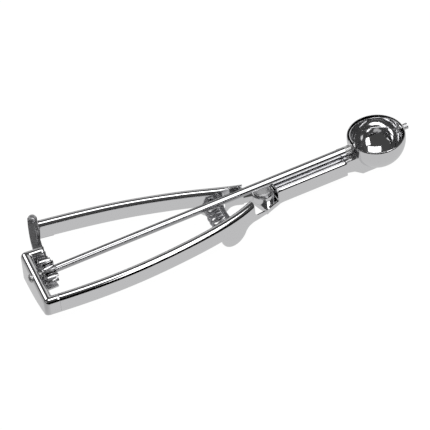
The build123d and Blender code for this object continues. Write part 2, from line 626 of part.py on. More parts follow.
# ---------------------------------------------------------------- pivot plate, neck and saddle
plate_side = fixed_path.trim(station(fixed_path, WEB_END + PLATE_SEAM), 1.0)
plate_near = plate_side @ 0
plate_front = plate_side @ 1
plate_inner = [plate_side @ end + (plate_side % end).cross(Vector(0, 0, -1)) * PLATE_ROUND for end in (0, 1)]
rear_edge = Edge.make_line((PLATE_REAR, PLATE_REAR_END), plate_near)
rear_inward = (rear_edge % 0).cross(Vector(0, 0, -1)) * PLATE_ROUND
with BuildPart() as pivot_plate:
    with BuildSketch(Plane.XY.offset(PLATE_TOP)):
        with BuildLine():
            Polyline(plate_inner[0], plate_inner[1], (plate_front.X, PLATE_FAR), (0, PLATE_FAR),
                     rear_edge @ 0 + rear_inward, close=True)
        make_face()
        Circle(PLATE_FAR)
        with Locations((plate_front.X, 0)):
            Rectangle(PLATE_TONGUE - plate_front.X, 2 * (NECK_HALF_WIDTH - SHEET),
                      align=(Align.MIN, Align.CENTER))
    extrude(amount=-SHEET)
    add(turned_edge(plate_side, PLATE_BOTTOM, PLATE_TOP, PLATE_ROUND, PLATE_ROUND + SHEET))
    add(turned_edge(rear_edge, PLATE_BOTTOM, PLATE_TOP, PLATE_ROUND, PLATE_ROUND + SHEET))
    with BuildSketch(Plane.XY):
        Circle(RIVET_RADIUS)
    extrude(amount=-FAR, mode=Mode.SUBTRACT)
    add(fixed_arm.part, mode=Mode.SUBTRACT)
finish("pivot_plate", pivot_plate.part)

with BuildPart() as neck_shell:
    with BuildSketch(Plane.XY.offset(NECK_BOTTOM)):
        with BuildLine():
            flare = Spline(plate_front, (NECK_FLARE, -NECK_HALF_WIDTH), tangents=[plate_side % 1, (1, 0)])
            Polyline(flare @ 1, (NECK_END, -NECK_HALF_WIDTH), (NECK_END, NECK_HALF_WIDTH),
                     (plate_front.X, NECK_HALF_WIDTH), flare @ 0)
        make_face()
    extrude(amount=NECK_TOP - NECK_BOTTOM)
    top_edges = neck_shell.edges().group_by(Axis.Z)[-1]
    fillet(top_edges.filter_by(lambda edge: abs((edge % 0.5).X) > abs((edge % 0.5).Y)), NECK_ROUND)
    ends = neck_shell.faces().filter_by(Axis.X).sort_by(Axis.X)
    offset(amount=-SHEET, openings=[neck_shell.faces().sort_by(Axis.Z)[0], ends[0], ends[-1]])
finish("neck_shell", neck_shell.part)

saddle_side = [(NECK_END, NECK_BOTTOM + SADDLE_WALL), (SADDLE_BEND, NECK_BOTTOM - FACE_GAP),
               (SADDLE_FOOT, SADDLE_BOTTOM),
               (SADDLE_TIP, SADDLE_BOTTOM), (SADDLE_TIP, 0), (BOWL_X - BOWL_RADIUS + SADDLE_WALL, SADDLE_TOP),
               (NECK_END, SADDLE_TOP)]
with BuildPart() as bowl_saddle:
    with BuildSketch(Plane.XZ) as side:
        with BuildLine():
            Polyline(*saddle_side, close=True)
        make_face()
    extrude(amount=SADDLE_HALF_WIDTH, both=True)
    low_edges = bowl_saddle.edges().filter_by(lambda edge: edge.center().Z < NECK_BOTTOM + SADDLE_WALL
                                              and abs(edge.center().Y) > SADDLE_WALL
                                              and edge.center().X < SADDLE_TIP - RUN_GAP)
    fillet(low_edges, SADDLE_WALL)
    with BuildSketch(Plane.XZ):
        with BuildLine():
            Polyline(*saddle_side, close=True)
        make_face()
        offset(amount=-SADDLE_WALL)
        with Locations((NECK_END, NECK_BOTTOM + 2 * SADDLE_WALL)):
            Rectangle(2 * SADDLE_WALL, SADDLE_TOP - NECK_BOTTOM - 3 * SADDLE_WALL,
                      align=(Align.CENTER, Align.MIN))
    extrude(amount=SADDLE_HALF_WIDTH - SADDLE_WALL, both=True, mode=Mode.SUBTRACT)
    with Locations(BOWL_CENTRE):
        Sphere(BOWL_RADIUS, mode=Mode.SUBTRACT)
finish("bowl_saddle", bowl_saddle.part)

# ---------------------------------------------------------------- pivot
with BuildPart() as pivot_rivet:
    with BuildSketch(Plane.XY.offset(RIVET_BOTTOM)):
        Circle(RIVET_RADIUS)
    extrude(amount=RIVET_TOP - RIVET_BOTTOM)
    with BuildSketch(Plane.XY.offset(FLANGE_BOTTOM)):
        Circle(RIVET_FLANGE_RADIUS)
    extrude(amount=RIVET_FLANGE_WALL)
    with BuildSketch(Plane.XY.offset(RIVET_LIP_BOTTOM)):
        Circle(RIVET_LIP_RADIUS)
    extrude(amount=RIVET_FLANGE_WALL)
    with BuildSketch(Plane.XY.offset(RIVET_BOTTOM)):
        Circle(RIVET_BORE)
    extrude(amount=RIVET_TOP - RIVET_BOTTOM, mode=Mode.SUBTRACT)
    fillet(pivot_rivet.edges().group_by(Axis.Z)[-1], RIVET_WALL / 3)
finish("pivot_rivet", pivot_rivet.part)

with BuildPart() as pivot_washer:
    with BuildSketch(Plane.XY.offset(WASHER_BOTTOM)):
        Circle(PIVOT_WASHER_RADIUS)
        Circle(RIVET_RADIUS, mode=Mode.SUBTRACT)
    extrude(amount=PIVOT_WASHER_WALL)
finish("pivot_washer", pivot_washer.part)

# ---------------------------------------------------------------- moving arm
near_tail = [(moving_face[-1][0], ARM_ROUND), (moving_face[-1][0], LOBE_TAIL_Z)]
rod_line = Plane.XY.rotated((0, 0, -SQUEEZE)).offset(ROD_CLEAR_Z)
with BuildPart() as moving_arm:
    add(channel(moving_path, ARM_WIDTH, SHEET, ARM_BOTTOM, ARM_TOP))
    add(lobed_web(moving_path, 0, near_tail))
    add(lobed_web(moving_path, ARM_WIDTH - SHEET, near_tail))
    add(spring_bore(moving_path, Keep.BOTTOM), mode=Mode.SUBTRACT)
    with BuildSketch(rod_line):
        Rectangle(2 * FAR, 2 * (SHAFT_RADIUS + SLIDE_GAP))
    extrude(amount=FAR, mode=Mode.SUBTRACT)
    with BuildSketch(Plane.XY.offset(-FAR / 2)):
        Circle(RACK_OUTER + RACK_WIDTH)
        Circle(RACK_INNER, mode=Mode.SUBTRACT)
    extrude(amount=FAR, mode=Mode.SUBTRACT)
    with BuildSketch(Plane.XY.offset(-FAR / 2)):
        Circle(EYE_RADIUS + SLIDE_GAP)
    extrude(amount=FAR, mode=Mode.SUBTRACT)
finish("moving_arm", moving_arm.part)

tongue_back = (moving_path % 1) * -1
tongue_side = tongue_back.cross(Vector(0, 0, 1))
tongue_root = moving_path @ 1 + tongue_side * (ARM_WIDTH / 2)
tongue_end = tongue_root + tongue_back * (EYE_TONGUE - tongue_root.length)
with BuildPart() as pivot_eye:
    with BuildSketch(Plane.XY.offset(EYE_BOTTOM)):
        Circle(EYE_RADIUS)
        with BuildLine():
            Polyline(tongue_end + tongue_side * (CHANNEL_CORE / 2),
                     tongue_end - tongue_side * (CHANNEL_CORE / 2),
                     tongue_root - tongue_side * EYE_TONGUE_HALF, tongue_side * -EYE_TONGUE_HALF,
                     tongue_side * EYE_TONGUE_HALF, tongue_root + tongue_side * EYE_TONGUE_HALF, close=True)
        make_face()
        Circle(RIVET_RADIUS + RUN_GAP, mode=Mode.SUBTRACT)
    extrude(amount=EYE_WALL)
    add(moving_arm.part, mode=Mode.SUBTRACT)
finish("pivot_eye", pivot_eye.part)

moving_seat = -web_plane(moving_path, LOBE_X, ARM_WIDTH - SHEET)
finish("spring_seat_moving", spring_seat(moving_seat, moving_arm.part))

# ---------------------------------------------------------------- rack
screw_x, screw_y = rack_point(RACK_RADIUS, RACK_SCREW_ANGLE)
sweep_angle = RACK_SCREW_ANGLE - RACK_START_ANGLE
rise = RACK_TIP_Z - RACK_PITCH_Z
drop = RACK_TOP - RUN_GAP - RACK_PITCH_Z
tip_half = TOOTH_HALF - rise * FLANK_SLOPE
root_half = TOOTH_HALF - drop * FLANK_SLOPE
with BuildPart() as rack:
    with BuildSketch(Plane.XY.offset(RACK_BOTTOM)):
        with BuildLine():
            outside = CenterArc((0, 0), RACK_OUTER, 180 - RACK_SCREW_ANGLE, sweep_angle)
            inside = CenterArc((0, 0), RACK_INNER, 180 - RACK_SCREW_ANGLE, sweep_angle)
            Line(outside @ 0, inside @ 0)
            Line(outside @ 1, inside @ 1)
        make_face()
        with Locations((screw_x, screw_y)):
            Circle(RACK_WIDTH / 2)
    extrude(amount=RACK_WALL)
    for index in range(RACK_TEETH):
        foot_x, foot_y = rack_point(RACK_RADIUS, (index + 1) * TOOTH_ANGLE)
        radial = Vector(foot_x, foot_y).normalized()
        across = Vector(-radial.Y, radial.X)
        tooth_plane = Plane(origin=(foot_x, foot_y, RACK_PITCH_Z), x_dir=across, z_dir=radial)
        with BuildSketch(tooth_plane):
            with BuildLine():
                Polyline((-root_half, drop), (root_half, drop), (tip_half, rise), (-tip_half, rise),
                         close=True)
            make_face()
        extrude(amount=RACK_WIDTH / 2, both=True)
    with BuildSketch(Plane.XY.offset(RACK_TOP - RACK_LUG_DEPTH)):
        with BuildLine():
            Polyline(*lug_outline(moving_path, 0, RACK_LUG), close=True)
        make_face()
    extrude(amount=RACK_LUG_TOP - RACK_TOP + RACK_LUG_DEPTH)
    with BuildSketch(Plane.XY.offset(RACK_BOTTOM)):
        with Locations((screw_x, screw_y)):
            Circle(SCREW_SHANK_RADIUS)
    extrude(amount=RACK_WALL, mode=Mode.SUBTRACT)
    add(moving_arm.part, mode=Mode.SUBTRACT)
finish("rack", rack.part)

with BuildPart() as rack_stop_screw:
    with BuildSketch(Plane.XY.offset(RACK_BOTTOM - SCREW_HEAD_WALL / 2)):
        with Locations((screw_x, screw_y)):
            Circle(SCREW_SHANK_RADIUS)
    extrude(amount=RACK_WALL + SCREW_HEAD_WALL / 2)
    with BuildSketch(Plane.XY.offset(RACK_TOP)):
        with Locations((screw_x, screw_y)):
            Circle(SCREW_HEAD_RADIUS)
    extrude(amount=SCREW_HEAD_WALL)
    fillet(rack_stop_screw.edges().group_by(Axis.Z)[-1], SCREW_HEAD_WALL / 2)
    with BuildSketch(Plane.XY.offset(RACK_TOP + SCREW_HEAD_WALL)):
        with Locations((screw_x, screw_y)):
            Rectangle(SCREW_SLOT, 3 * SCREW_HEAD_RADIUS, rotation=RACK_SCREW_ANGLE)
    extrude(amount=-SCREW_SLOT, mode=Mode.SUBTRACT)
finish("rack_stop_screw", rack_stop_screw.part)

# ---------------------------------------------------------------- spring
with BuildPart() as return_spring:
    with BuildLine():
        coil = Helix(pitch=(SPRING_END - SPRING_START) / SPRING_TURNS, height=SPRING_END - SPRING_START,
                     radius=SPRING_RADIUS - SPRING_WIRE, center=(LOBE_X, SPRING_START, SPRING_Z),
                     direction=(0, 1, 0))
    with BuildSketch(Plane(origin=coil @ 0, z_dir=coil % 0)):
        Circle(SPRING_WIRE)
    sweep(is_frenet=True)
finish("return_spring", return_spring.part)
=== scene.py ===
"""Squeeze-handle disher in polished sheet steel: meshes, finishes, studio and camera.

Sizes are in millimetres in the part's own frame: +X along the shaft towards the bowl, +Z up, and the
moving arm on the +Y side. Meshes are written in metres.
"""

import json
import logging
from collections.abc import Callable, Sequence
from dataclasses import dataclass, field
from enum import Enum
from math import acos, asin, atan2, cos, pi, radians, sin, sqrt, tan

import bmesh
import bpy
import numpy as np
from mathutils import Matrix, Vector
from mathutils.geometry import delaunay_2d_cdt

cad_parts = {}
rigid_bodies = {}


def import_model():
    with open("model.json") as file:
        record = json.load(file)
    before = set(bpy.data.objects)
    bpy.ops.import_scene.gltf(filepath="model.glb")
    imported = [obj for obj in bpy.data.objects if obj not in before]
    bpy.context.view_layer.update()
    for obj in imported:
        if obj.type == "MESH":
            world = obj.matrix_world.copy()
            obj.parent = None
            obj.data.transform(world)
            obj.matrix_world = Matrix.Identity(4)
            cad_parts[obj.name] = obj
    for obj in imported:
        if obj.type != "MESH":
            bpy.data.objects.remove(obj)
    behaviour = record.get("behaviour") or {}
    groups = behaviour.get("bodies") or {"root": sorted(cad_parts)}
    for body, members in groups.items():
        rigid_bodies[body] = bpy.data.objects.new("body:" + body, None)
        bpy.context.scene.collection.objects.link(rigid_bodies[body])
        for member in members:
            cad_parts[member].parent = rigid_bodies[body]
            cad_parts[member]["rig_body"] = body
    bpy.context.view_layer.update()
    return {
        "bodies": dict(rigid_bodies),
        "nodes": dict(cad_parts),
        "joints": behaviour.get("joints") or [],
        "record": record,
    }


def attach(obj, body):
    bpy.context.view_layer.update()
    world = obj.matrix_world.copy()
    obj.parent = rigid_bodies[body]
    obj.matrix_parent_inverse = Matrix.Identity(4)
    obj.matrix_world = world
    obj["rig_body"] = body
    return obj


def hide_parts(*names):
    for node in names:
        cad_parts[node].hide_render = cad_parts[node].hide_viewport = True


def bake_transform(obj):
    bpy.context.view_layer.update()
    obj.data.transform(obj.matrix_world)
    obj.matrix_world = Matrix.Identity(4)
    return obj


Array = np.ndarray
log = logging.getLogger("disher")

MM = 0.001                   # metres in a millimetre
SMOOTH_ANGLE = radians(38)   # edges sharper than this stay crisp
BREAK_ANGLE = radians(50)    # edges sharper than this are broken
MERGE = 1e-6                 # points nearer than this, in their own unit, are one
SLIVER = 1e-7                # metres; a shorter edge is taken out
TINY = 1e-12                 # keeps a division from zero
UPRIGHT = 0.9                # share of +Z past which an axis counts as upright
ARC_STEPS = 5                # straight pieces in a small arc
EDGE_STEPS = 4               # straight pieces in the arc of a thin edge
EDGE_GAP = 0.16              # millimetres that inner points keep from an edge
UP = np.array([0.0, 0.0, 1.0])


# ------------------------------------------------------------------------------------ finishes
def feed(tree: bpy.types.NodeTree, socket: bpy.types.NodeSocket, value: object) -> None:
    """Give a socket its value, or link it where the value is another socket.

    Args:
        tree: The tree that holds the socket.
        socket: The socket.
        value: A plain value, or the socket that feeds it.
    """
    if isinstance(value, bpy.types.NodeSocket):
        tree.links.new(value, socket)
    else:
        socket.default_value = value


def add_node(tree: bpy.types.NodeTree, kind: str, **inputs: object) -> bpy.types.Node:
    """Add a node to a tree.

    Args:
        tree: The tree.
        kind: The node's type, without its common beginning.
        inputs: Values or sockets for its inputs, with _ for a space in their names.

    Returns:
        The node.
    """
    made = tree.nodes.new(f"ShaderNode{kind}")
    for name, value in inputs.items():
        feed(tree, made.inputs[name.replace("_", " ")], value)
    return made


def mixed(tree: bpy.types.NodeTree, share: object, first: bpy.types.NodeSocket,
          second: bpy.types.NodeSocket) -> bpy.types.NodeSocket:
    """Mix two shaders by a value or a socket; a share of 1 gives the second.

    Args:
        tree: The tree.
        share: Share of the second shader, a value or a socket.
        first: The first shader.
        second: The second shader.

    Returns:
        The mixed shader.
    """
    made = add_node(tree, "MixShader")
    for socket, value in zip(made.inputs, (share, first, second)):
        feed(tree, socket, value)
    return made.outputs[0]


class Grain(Enum):
    """How far the marks of the last working are drawn out along each axis."""

    EVEN = (1.0, 1.0, 1.0)
    ROLLED = (0.05, 1.0, 1.0)
    DRAWN = (0.04, 1.0, 1.0)


@dataclass(frozen=True)
class SteelFinish:
    """Bare metal: base colour, roughness, and the fine marks of how it was worked. Some finishes get a darker
    base colour as painted shade.
    """

    name: str
    tone: tuple[float, float, float]
    roughness: float
    grain: Grain = Grain.EVEN
    grain_depth: float = 0.02    # strength of the bump
    grain_size: float = 0.5      # millimetres between marks
    smudge: float = 0.03         # how far the roughness wanders
    least_roughness: float = 0.02
    patches: float = 90.0        # patches of wear in a metre
    patch_detail: float = 3.0
    grain_detail: float = 4.0

    def material(self) -> bpy.types.Material:
        """Build the node tree once and return the material.

        Returns:
            A metal whose roughness wanders with a wide noise and whose bump follows a fine, stretched one.
        """
        found = bpy.data.materials.get(self.name)
        if found:
            return found
        made = bpy.data.materials.new(self.name)
        made.use_nodes = True
        tree = made.node_tree
        shader = tree.nodes["Principled BSDF"]
        shader.inputs["Base Color"].default_value = (*self.tone, 1.0)
        shader.inputs["Metallic"].default_value = 1.0
        place = add_node(tree, "TexCoord").outputs["Object"]
        wide = add_node(tree, "TexNoise", Vector=place, Scale=self.patches, Detail=self.patch_detail)
        spread = add_node(tree, "MapRange", Value=wide.outputs["Fac"], To_Max=self.roughness + self.smudge,
                          To_Min=max(self.least_roughness, self.roughness - self.smudge))
        feed(tree, shader.inputs["Roughness"], spread.outputs["Result"])
        turn = add_node(tree, "Mapping", Vector=place, Scale=self.grain.value)
        fine = add_node(tree, "TexNoise", Vector=turn.outputs["Vector"], Scale=1.0 / (self.grain_size * MM),
                        Detail=self.grain_detail)
        bump = add_node(tree, "Bump", Height=fine.outputs["Fac"], Strength=self.grain_depth,
                        Distance=self.grain_size * MM)
        feed(tree, shader.inputs["Normal"], bump.outputs["Normal"])
        return made


SHEET_STEEL = SteelFinish("sheet_steel", (0.80, 0.80, 0.81), 0.09, Grain.ROLLED)
BOWL_STEEL = SteelFinish("bowl_steel", (0.78, 0.78, 0.79), 0.07, grain_size=0.6)
# painted shade: the rod's darker tone stands for the shaded floor that it mirrors between the arms
SHADED_ROD_STEEL = SteelFinish("shaded_rod_steel", (0.50, 0.50, 0.51), 0.10, Grain.DRAWN, 0.03, 0.3)
# painted shade: the spring, rack and pinion get darker tones that stand for the shade between the arms and
# inside the housing
SHADED_SPRING_STEEL = SteelFinish("spring_steel", (0.34, 0.34, 0.35), 0.24, Grain.EVEN, 0.05, 0.15)
SHADED_RACK_STEEL = SteelFinish("shaded_rack_steel", (0.42, 0.42, 0.43), 0.30, Grain.EVEN, 0.16, 0.18)
SHADED_PINION_STEEL = SteelFinish("shaded_pinion_steel", (0.50, 0.50, 0.51), 0.14, Grain.EVEN, 0.02, 0.3)
SCREW_STEEL = SteelFinish("screw_steel", (0.66, 0.66, 0.67), 0.18, Grain.EVEN, 0.05, 0.2)
# painted shade: the bearings' darker tone stands for the shade under the saddle and inside the housing
SHADED_BEARING_STEEL = SteelFinish("bearing_steel", (0.55, 0.55, 0.55), 0.2, Grain.EVEN, 0.05, 0.2)
# painted shade: the inner pieces' darker tone stands for the shade inside the arms and the housing
SHADED_INNER_STEEL = SteelFinish("inner_steel", (0.60, 0.60, 0.61), 0.25, Grain.EVEN, 0.06, 0.3)


# ------------------------------------------------------------------------------------ surfaces
@dataclass
class Shell:
    """A closed surface: its corner points in millimetres and the faces between them."""

    points: Array
    faces: list[tuple[int, ...]]


def rounded(points: Sequence[Sequence[float]], radii: Sequence[float], steps: int = 6,
            closed: bool = False) -> Array:
    """Replace each corner of a bent line by an arc.

    Args:
        points: Corners of the line, in a plane.
        radii: One radius for each corner; 0 keeps it sharp. The ends of an open line stay.
        steps: Straight pieces in each arc.
        closed: Whether the last corner joins the first.

    Returns:
        The line's points. An arc of radius r that meets both legs starts r * tan(turn / 2) before its corner.
    """
    corners = np.asarray(points, float)
    count = len(corners)
    line: list[Array] = []
    for index, radius in enumerate(radii):
        here = corners[index]
        if radius <= 0 or (not closed and index in (0, count - 1)):
            line.append(here[None])
            continue
        back = corners[index - 1] - here
        ahead = corners[(index + 1) % count] - here
        back, ahead = back / np.linalg.norm(back), ahead / np.linalg.norm(ahead)
        half = acos(np.clip(back @ ahead, -1, 1)) / 2
        middle = (back + ahead) / np.linalg.norm(back + ahead)
        centre = here + middle * radius / sin(half)
        start = here + back * radius / tan(half) - centre
        side = middle * radius
        reach = pi / 2 - half
        across = start - side * cos(reach)
        across = across / np.linalg.norm(across) * radius
        swing = np.linspace(reach, -reach, steps + 1)[:, None]
        line.append(centre - side * np.cos(swing) + across * np.sin(swing))
    return np.vstack(line)


def dense(line: Array, step: float, closed: bool = True) -> Array:
    """Add evenly spaced points to a bent line so that no piece of it is longer than a step.

    Args:
        line: The line's points.
        step: The longest piece.
        closed: Whether the last point joins the first.

    Returns:
        The points, with the new ones between them.
    """
    ends = np.roll(line, -1, axis=0) if closed else line[1:]
    starts = line if closed else line[:-1]
    pieces = []
    for start, end in zip(starts, ends):
        count = max(1, int(np.ceil(np.linalg.norm(end - start) / step)))
        share = np.linspace(0, 1, count, endpoint=False)[:, None]
        pieces.append(start + (end - start) * share)
    if not closed:
        pieces.append(line[-1:])
    return np.vstack(pieces)


def inside(points: Array, loop: Array) -> Array:
    """Tell which points lie inside a closed loop, by counting how often a level ray crosses it.

    Args:
        points: Flat points.
        loop: The loop's points, in order.

    Returns:
        One truth value for each point.
    """
    x, y = points[:, :1], points[:, 1:2]
    ax, ay = loop[:, 0], loop[:, 1]
    bx, by = np.roll(ax, -1), np.roll(ay, -1)
    spans = (ay > y) != (by > y)
    rise = np.where(by == ay, TINY, by - ay)
    crossing = ax + (y - ay) * (bx - ax) / rise
    return ((spans & (x < crossing)).sum(axis=1) % 2).astype(bool)


def circle(x: float, y: float, radius: float, count: int = 48) -> Array:
    """Points round a circle."""
    turn = np.linspace(0, 2 * pi, count, endpoint=False)
    return np.column_stack([x + radius * np.cos(turn), y + radius * np.sin(turn)])


def turned(profile: Array, origin: Sequence[float], axis: Sequence[float], segments: int = 96) -> Shell:
    """Carry a profile round an axis.

    Args:
        profile: Rows of (distance along the axis, radius), from one end to the other.
        origin: Where the axis starts.
        axis: Unit direction of the axis.
        segments: Steps round the axis.

    Returns:
        The surface origin + along * axis + radius * (cos t * u + sin t * w), with u and w square to the axis.
    """
    line = np.asarray(axis, float)
    u = np.cross(line, UP) if abs(line[2]) < UPRIGHT else np.array([1.0, 0.0, 0.0])
    u = u / np.linalg.norm(u)
    w = np.cross(line, u)
    turn = np.linspace(0, 2 * pi, segments, endpoint=False)
    ring = np.cos(turn)[:, None] * u + np.sin(turn)[:, None] * w
    along, radius = profile[:, 0], profile[:, 1]
    grid = np.asarray(origin, float) + along[:, None, None] * line + radius[:, None, None] * ring[None]
    return Shell(grid.reshape(-1, 3), grid_faces(len(profile), segments, wrap_second=True))


def grid_faces(rows: int, columns: int, wrap_first: bool = False, wrap_second: bool = False,
               start: int = 0) -> list[tuple[int, ...]]:
    """Four-cornered faces of a grid of points that is stored row by row.

    Args:
        rows: Rows of the grid.
        columns: Points in a row.
        wrap_first: Whether the last row joins the first.
        wrap_second: Whether a row's last point joins its first.
        start: Number of the grid's first point.

    Returns:
        The faces, each as the numbers of its four points.
    """
    row = np.arange(rows if wrap_first else rows - 1)
    column = np.arange(columns if wrap_second else columns - 1)
    i, j = (part.ravel() for part in np.meshgrid(row, column, indexing="ij"))
    k, m = (i + 1) % rows, (j + 1) % columns
    corners = np.column_stack([i * columns + j, k * columns + j, k * columns + m, i * columns + m]) + start
    return [tuple(face) for face in corners.tolist()]


def filled(outline: Array, holes: Sequence[Array], inner: Array) -> tuple[Array, Array]:
    """Fill a flat outline with triangles.

    Args:
        outline: Closed outer loop.
        holes: Closed loops left open.
        inner: Further points to use inside.

    Returns:
        The points and the triangles as rows of three indices.
    """
    loops = [outline, *holes]
    edges: list[tuple[int, int]] = []
    start = 0
    for loop in loops:
        index = np.arange(len(loop)) + start
        edges += list(zip(index.tolist(), np.roll(index, -1).tolist()))
        start += len(loop)
    flat = np.vstack([*loops, inner]) if len(inner) else np.vstack(loops)
    found = delaunay_2d_cdt([Vector(point) for point in flat.tolist()], edges, [], 0, MERGE)
    points, triangles = np.array([tuple(p) for p in found[0]]), np.array(found[2])
    middle = points[triangles].mean(axis=1)
    keep = inside(middle, outline)
    for hole in holes:
        keep &= ~inside(middle, hole)
    return points, triangles[keep]


def plate(points: Array, triangles: Array, place: Callable[[Array, float], Array], wall: float) -> Shell:
    """Give a filled outline its wall.

    Args:
        points: Flat points.
        triangles: Rows of three indices.
        place: Gives the points' places in space at a depth below the outer face.
        wall: Thickness.

    Returns:
        Outer face, inner face and the rim between them. The rim follows the edges that only one triangle has.
    """
    count = len(points)
    ring = np.vstack([triangles[:, [0, 1]], triangles[:, [1, 2]], triangles[:, [2, 0]]])
    key = ring[:, 0] * count + ring[:, 1]
    back = ring[:, 1] * count + ring[:, 0]
    rim = ring[~np.isin(key, back)]
    quads = np.column_stack([rim[:, 1], rim[:, 0], rim[:, 0] + count, rim[:, 1] + count])
    faces = [tuple(f) for f in triangles.tolist()]
    faces += [tuple(f) for f in (triangles[:, ::-1] + count).tolist()]
    faces += [tuple(f) for f in quads.tolist()]
    return Shell(np.vstack([place(points, 0.0), place(points, wall)]), faces)


def framed_place(origin: Array, u: Array, w: Array) -> Callable[[Array, float], Array]:
    """Place of a plate in any plane: u and w carry the outline, and the wall goes back from u x w."""
    back = -np.cross(u, w)
    return lambda flat, depth: origin + flat[:, :1] * u + flat[:, 1:2] * w + back * depth


def grid_shell(outer: Array, inner: Array) -> Shell:
    """Close the space between two grids of the same shape with a rim all round.

    Args:
        outer: Outer grid: rows by columns by three.
        inner: Inner grid.

    Returns:
        The closed surface.
    """
    rows, columns = outer.shape[:2]
    count = rows * columns
    index = np.arange(count).reshape(rows, columns)
    loop = np.concatenate([index[0, :-1], index[:-1, -1], index[-1, :0:-1], index[:0:-1, 0]])
    ahead = np.roll(loop, -1)
    faces = grid_faces(rows, columns)
    faces += [face[::-1] for face in grid_faces(rows, columns, start=count)]
    faces += [tuple(f) for f in np.column_stack([loop, ahead, ahead + count, loop + count]).tolist()]
    return Shell(np.vstack([outer.reshape(-1, 3), inner.reshape(-1, 3)]), faces)


def tube(centre: Array, radius: float, sides: int = 14) -> Shell:
    """Round bar along a line of points.

    Args:
        centre: The line.
        radius: Radius of the bar.
        sides: Steps round it.

    Returns:
        The surface centre + radius * (cos t * n + sin t * b). The normal n is carried along the line without
        twist.
    """
    tangent = np.gradient(centre, axis=0)
    tangent /= np.linalg.norm(tangent, axis=1)[:, None]
    normal = np.cross(tangent[0], UP)
    normals = np.empty_like(centre)
    for row, direction in enumerate(tangent):
        normal = normal - direction * (normal @ direction)
        normal = normal / np.linalg.norm(normal)
        normals[row] = normal
    binormals = np.cross(tangent, normals)
    turn = np.linspace(0, 2 * pi, sides, endpoint=False)
    grid = centre[:, None] + radius * (np.cos(turn)[None, :, None] * normals[:, None]
                                       + np.sin(turn)[None, :, None] * binormals[:, None])
    points = np.vstack([grid.reshape(-1, 3), centre[:1], centre[-1:]])
    faces = grid_faces(len(centre), sides, wrap_second=True)
    first, tail = np.full(sides, len(points) - 2), (len(centre) - 1) * sides
    side = np.arange(sides)
    ahead = (side + 1) % sides
    faces += [tuple(face) for face in np.column_stack([first, ahead, side]).tolist()]
    faces += [tuple(face) for face in np.column_stack([first + 1, tail + side, tail + ahead]).tolist()]
    return Shell(points, faces)


@dataclass(frozen=True)
class Curve:
    """A smooth plan line, kept as close-set samples of its place and direction."""

    along: Array
    place: Array
    heading: Array

    @classmethod
    def through(cls, knots: Sequence[Sequence[float]], step: float = 0.05) -> "Curve":
        """Lay a cubic spline through plan points.

        Args:
            knots: Points in plan.
            step: Distance between samples.

        Returns:
            The line. Each span is a cubic. Its slopes at the knots make the second derivative continuous, and
            the end slopes are those of the cubic through the first and last four knots.
        """
        points = np.asarray(knots, float)
        gaps = np.linalg.norm(np.diff(points, axis=0), axis=1)
        place = np.concatenate([[0], np.cumsum(gaps)])
        count = len(points)
        system, sides = np.zeros((count, count)), np.zeros((count, 2))
        for end, near in ((0, slice(0, 4)), (count - 1, slice(count - 4, count))):
            system[end, end] = 1
            for axis in range(2):
                fit = np.polyfit(place[near], points[near, axis], 3)
                sides[end, axis] = np.polyval(np.polyder(fit), place[end])
        rows = np.arange(1, count - 1)
        before, after = gaps[:-1], gaps[1:]
        system[rows, rows - 1], system[rows, rows + 1] = after, before
        system[rows, rows] = 2 * (before + after)
        rise = np.diff(points, axis=0) / gaps[:, None]
        sides[rows] = 3 * (after[:, None] * rise[:-1] + before[:, None] * rise[1:])
        slopes = np.linalg.solve(system, sides)
        at = np.linspace(0, place[-1], int(place[-1] / step) + 1)
        span = np.clip(np.searchsorted(place, at, side="right") - 1, 0, count - 2)
        gap = gaps[span][:, None]
        t = (at - place[span])[:, None] / gap
        here, there = points[span], points[span + 1]
        out, back = slopes[span] * gap, slopes[span + 1] * gap
        samples = ((2 * t**3 - 3 * t**2 + 1) * here + (t**3 - 2 * t**2 + t) * out
                   + (3 * t**2 - 2 * t**3) * there + (t**3 - t**2) * back)
        heading = np.gradient(samples, axis=0)
        heading /= np.linalg.norm(heading, axis=1)[:, None]
        length = np.concatenate([[0], np.cumsum(np.linalg.norm(np.diff(samples, axis=0), axis=1))])
        return cls(length, samples, heading)

    @property
    def length(self) -> float:
        """Length of the line."""
        return float(self.along[-1])

    def offset(self, along: Array, depth: Array | float) -> Array:
        """Plan points at distances along the line, moved to its left by a depth.

        Args:
            along: Distances along the line.
            depth: How far to its left, for all or for each of them.

        Returns:
            Points in plan.
        """
        x = np.interp(along, self.along, self.place[:, 0])
        y = np.interp(along, self.along, self.place[:, 1])
        hx = np.interp(along, self.along, self.heading[:, 0])
        hy = np.interp(along, self.along, self.heading[:, 1])
        return np.column_stack([x - hy * depth, y + hx * depth])

    def side(self, depth: float) -> Array:
        """The whole line moved to its left by a depth."""
        return self.offset(self.along, depth)

    def station(self, x: Array | float, depth: float) -> Array:
        """Distance along the line where the line at a depth reaches x."""
        return np.interp(x, self.side(depth)[:, 0], self.along)


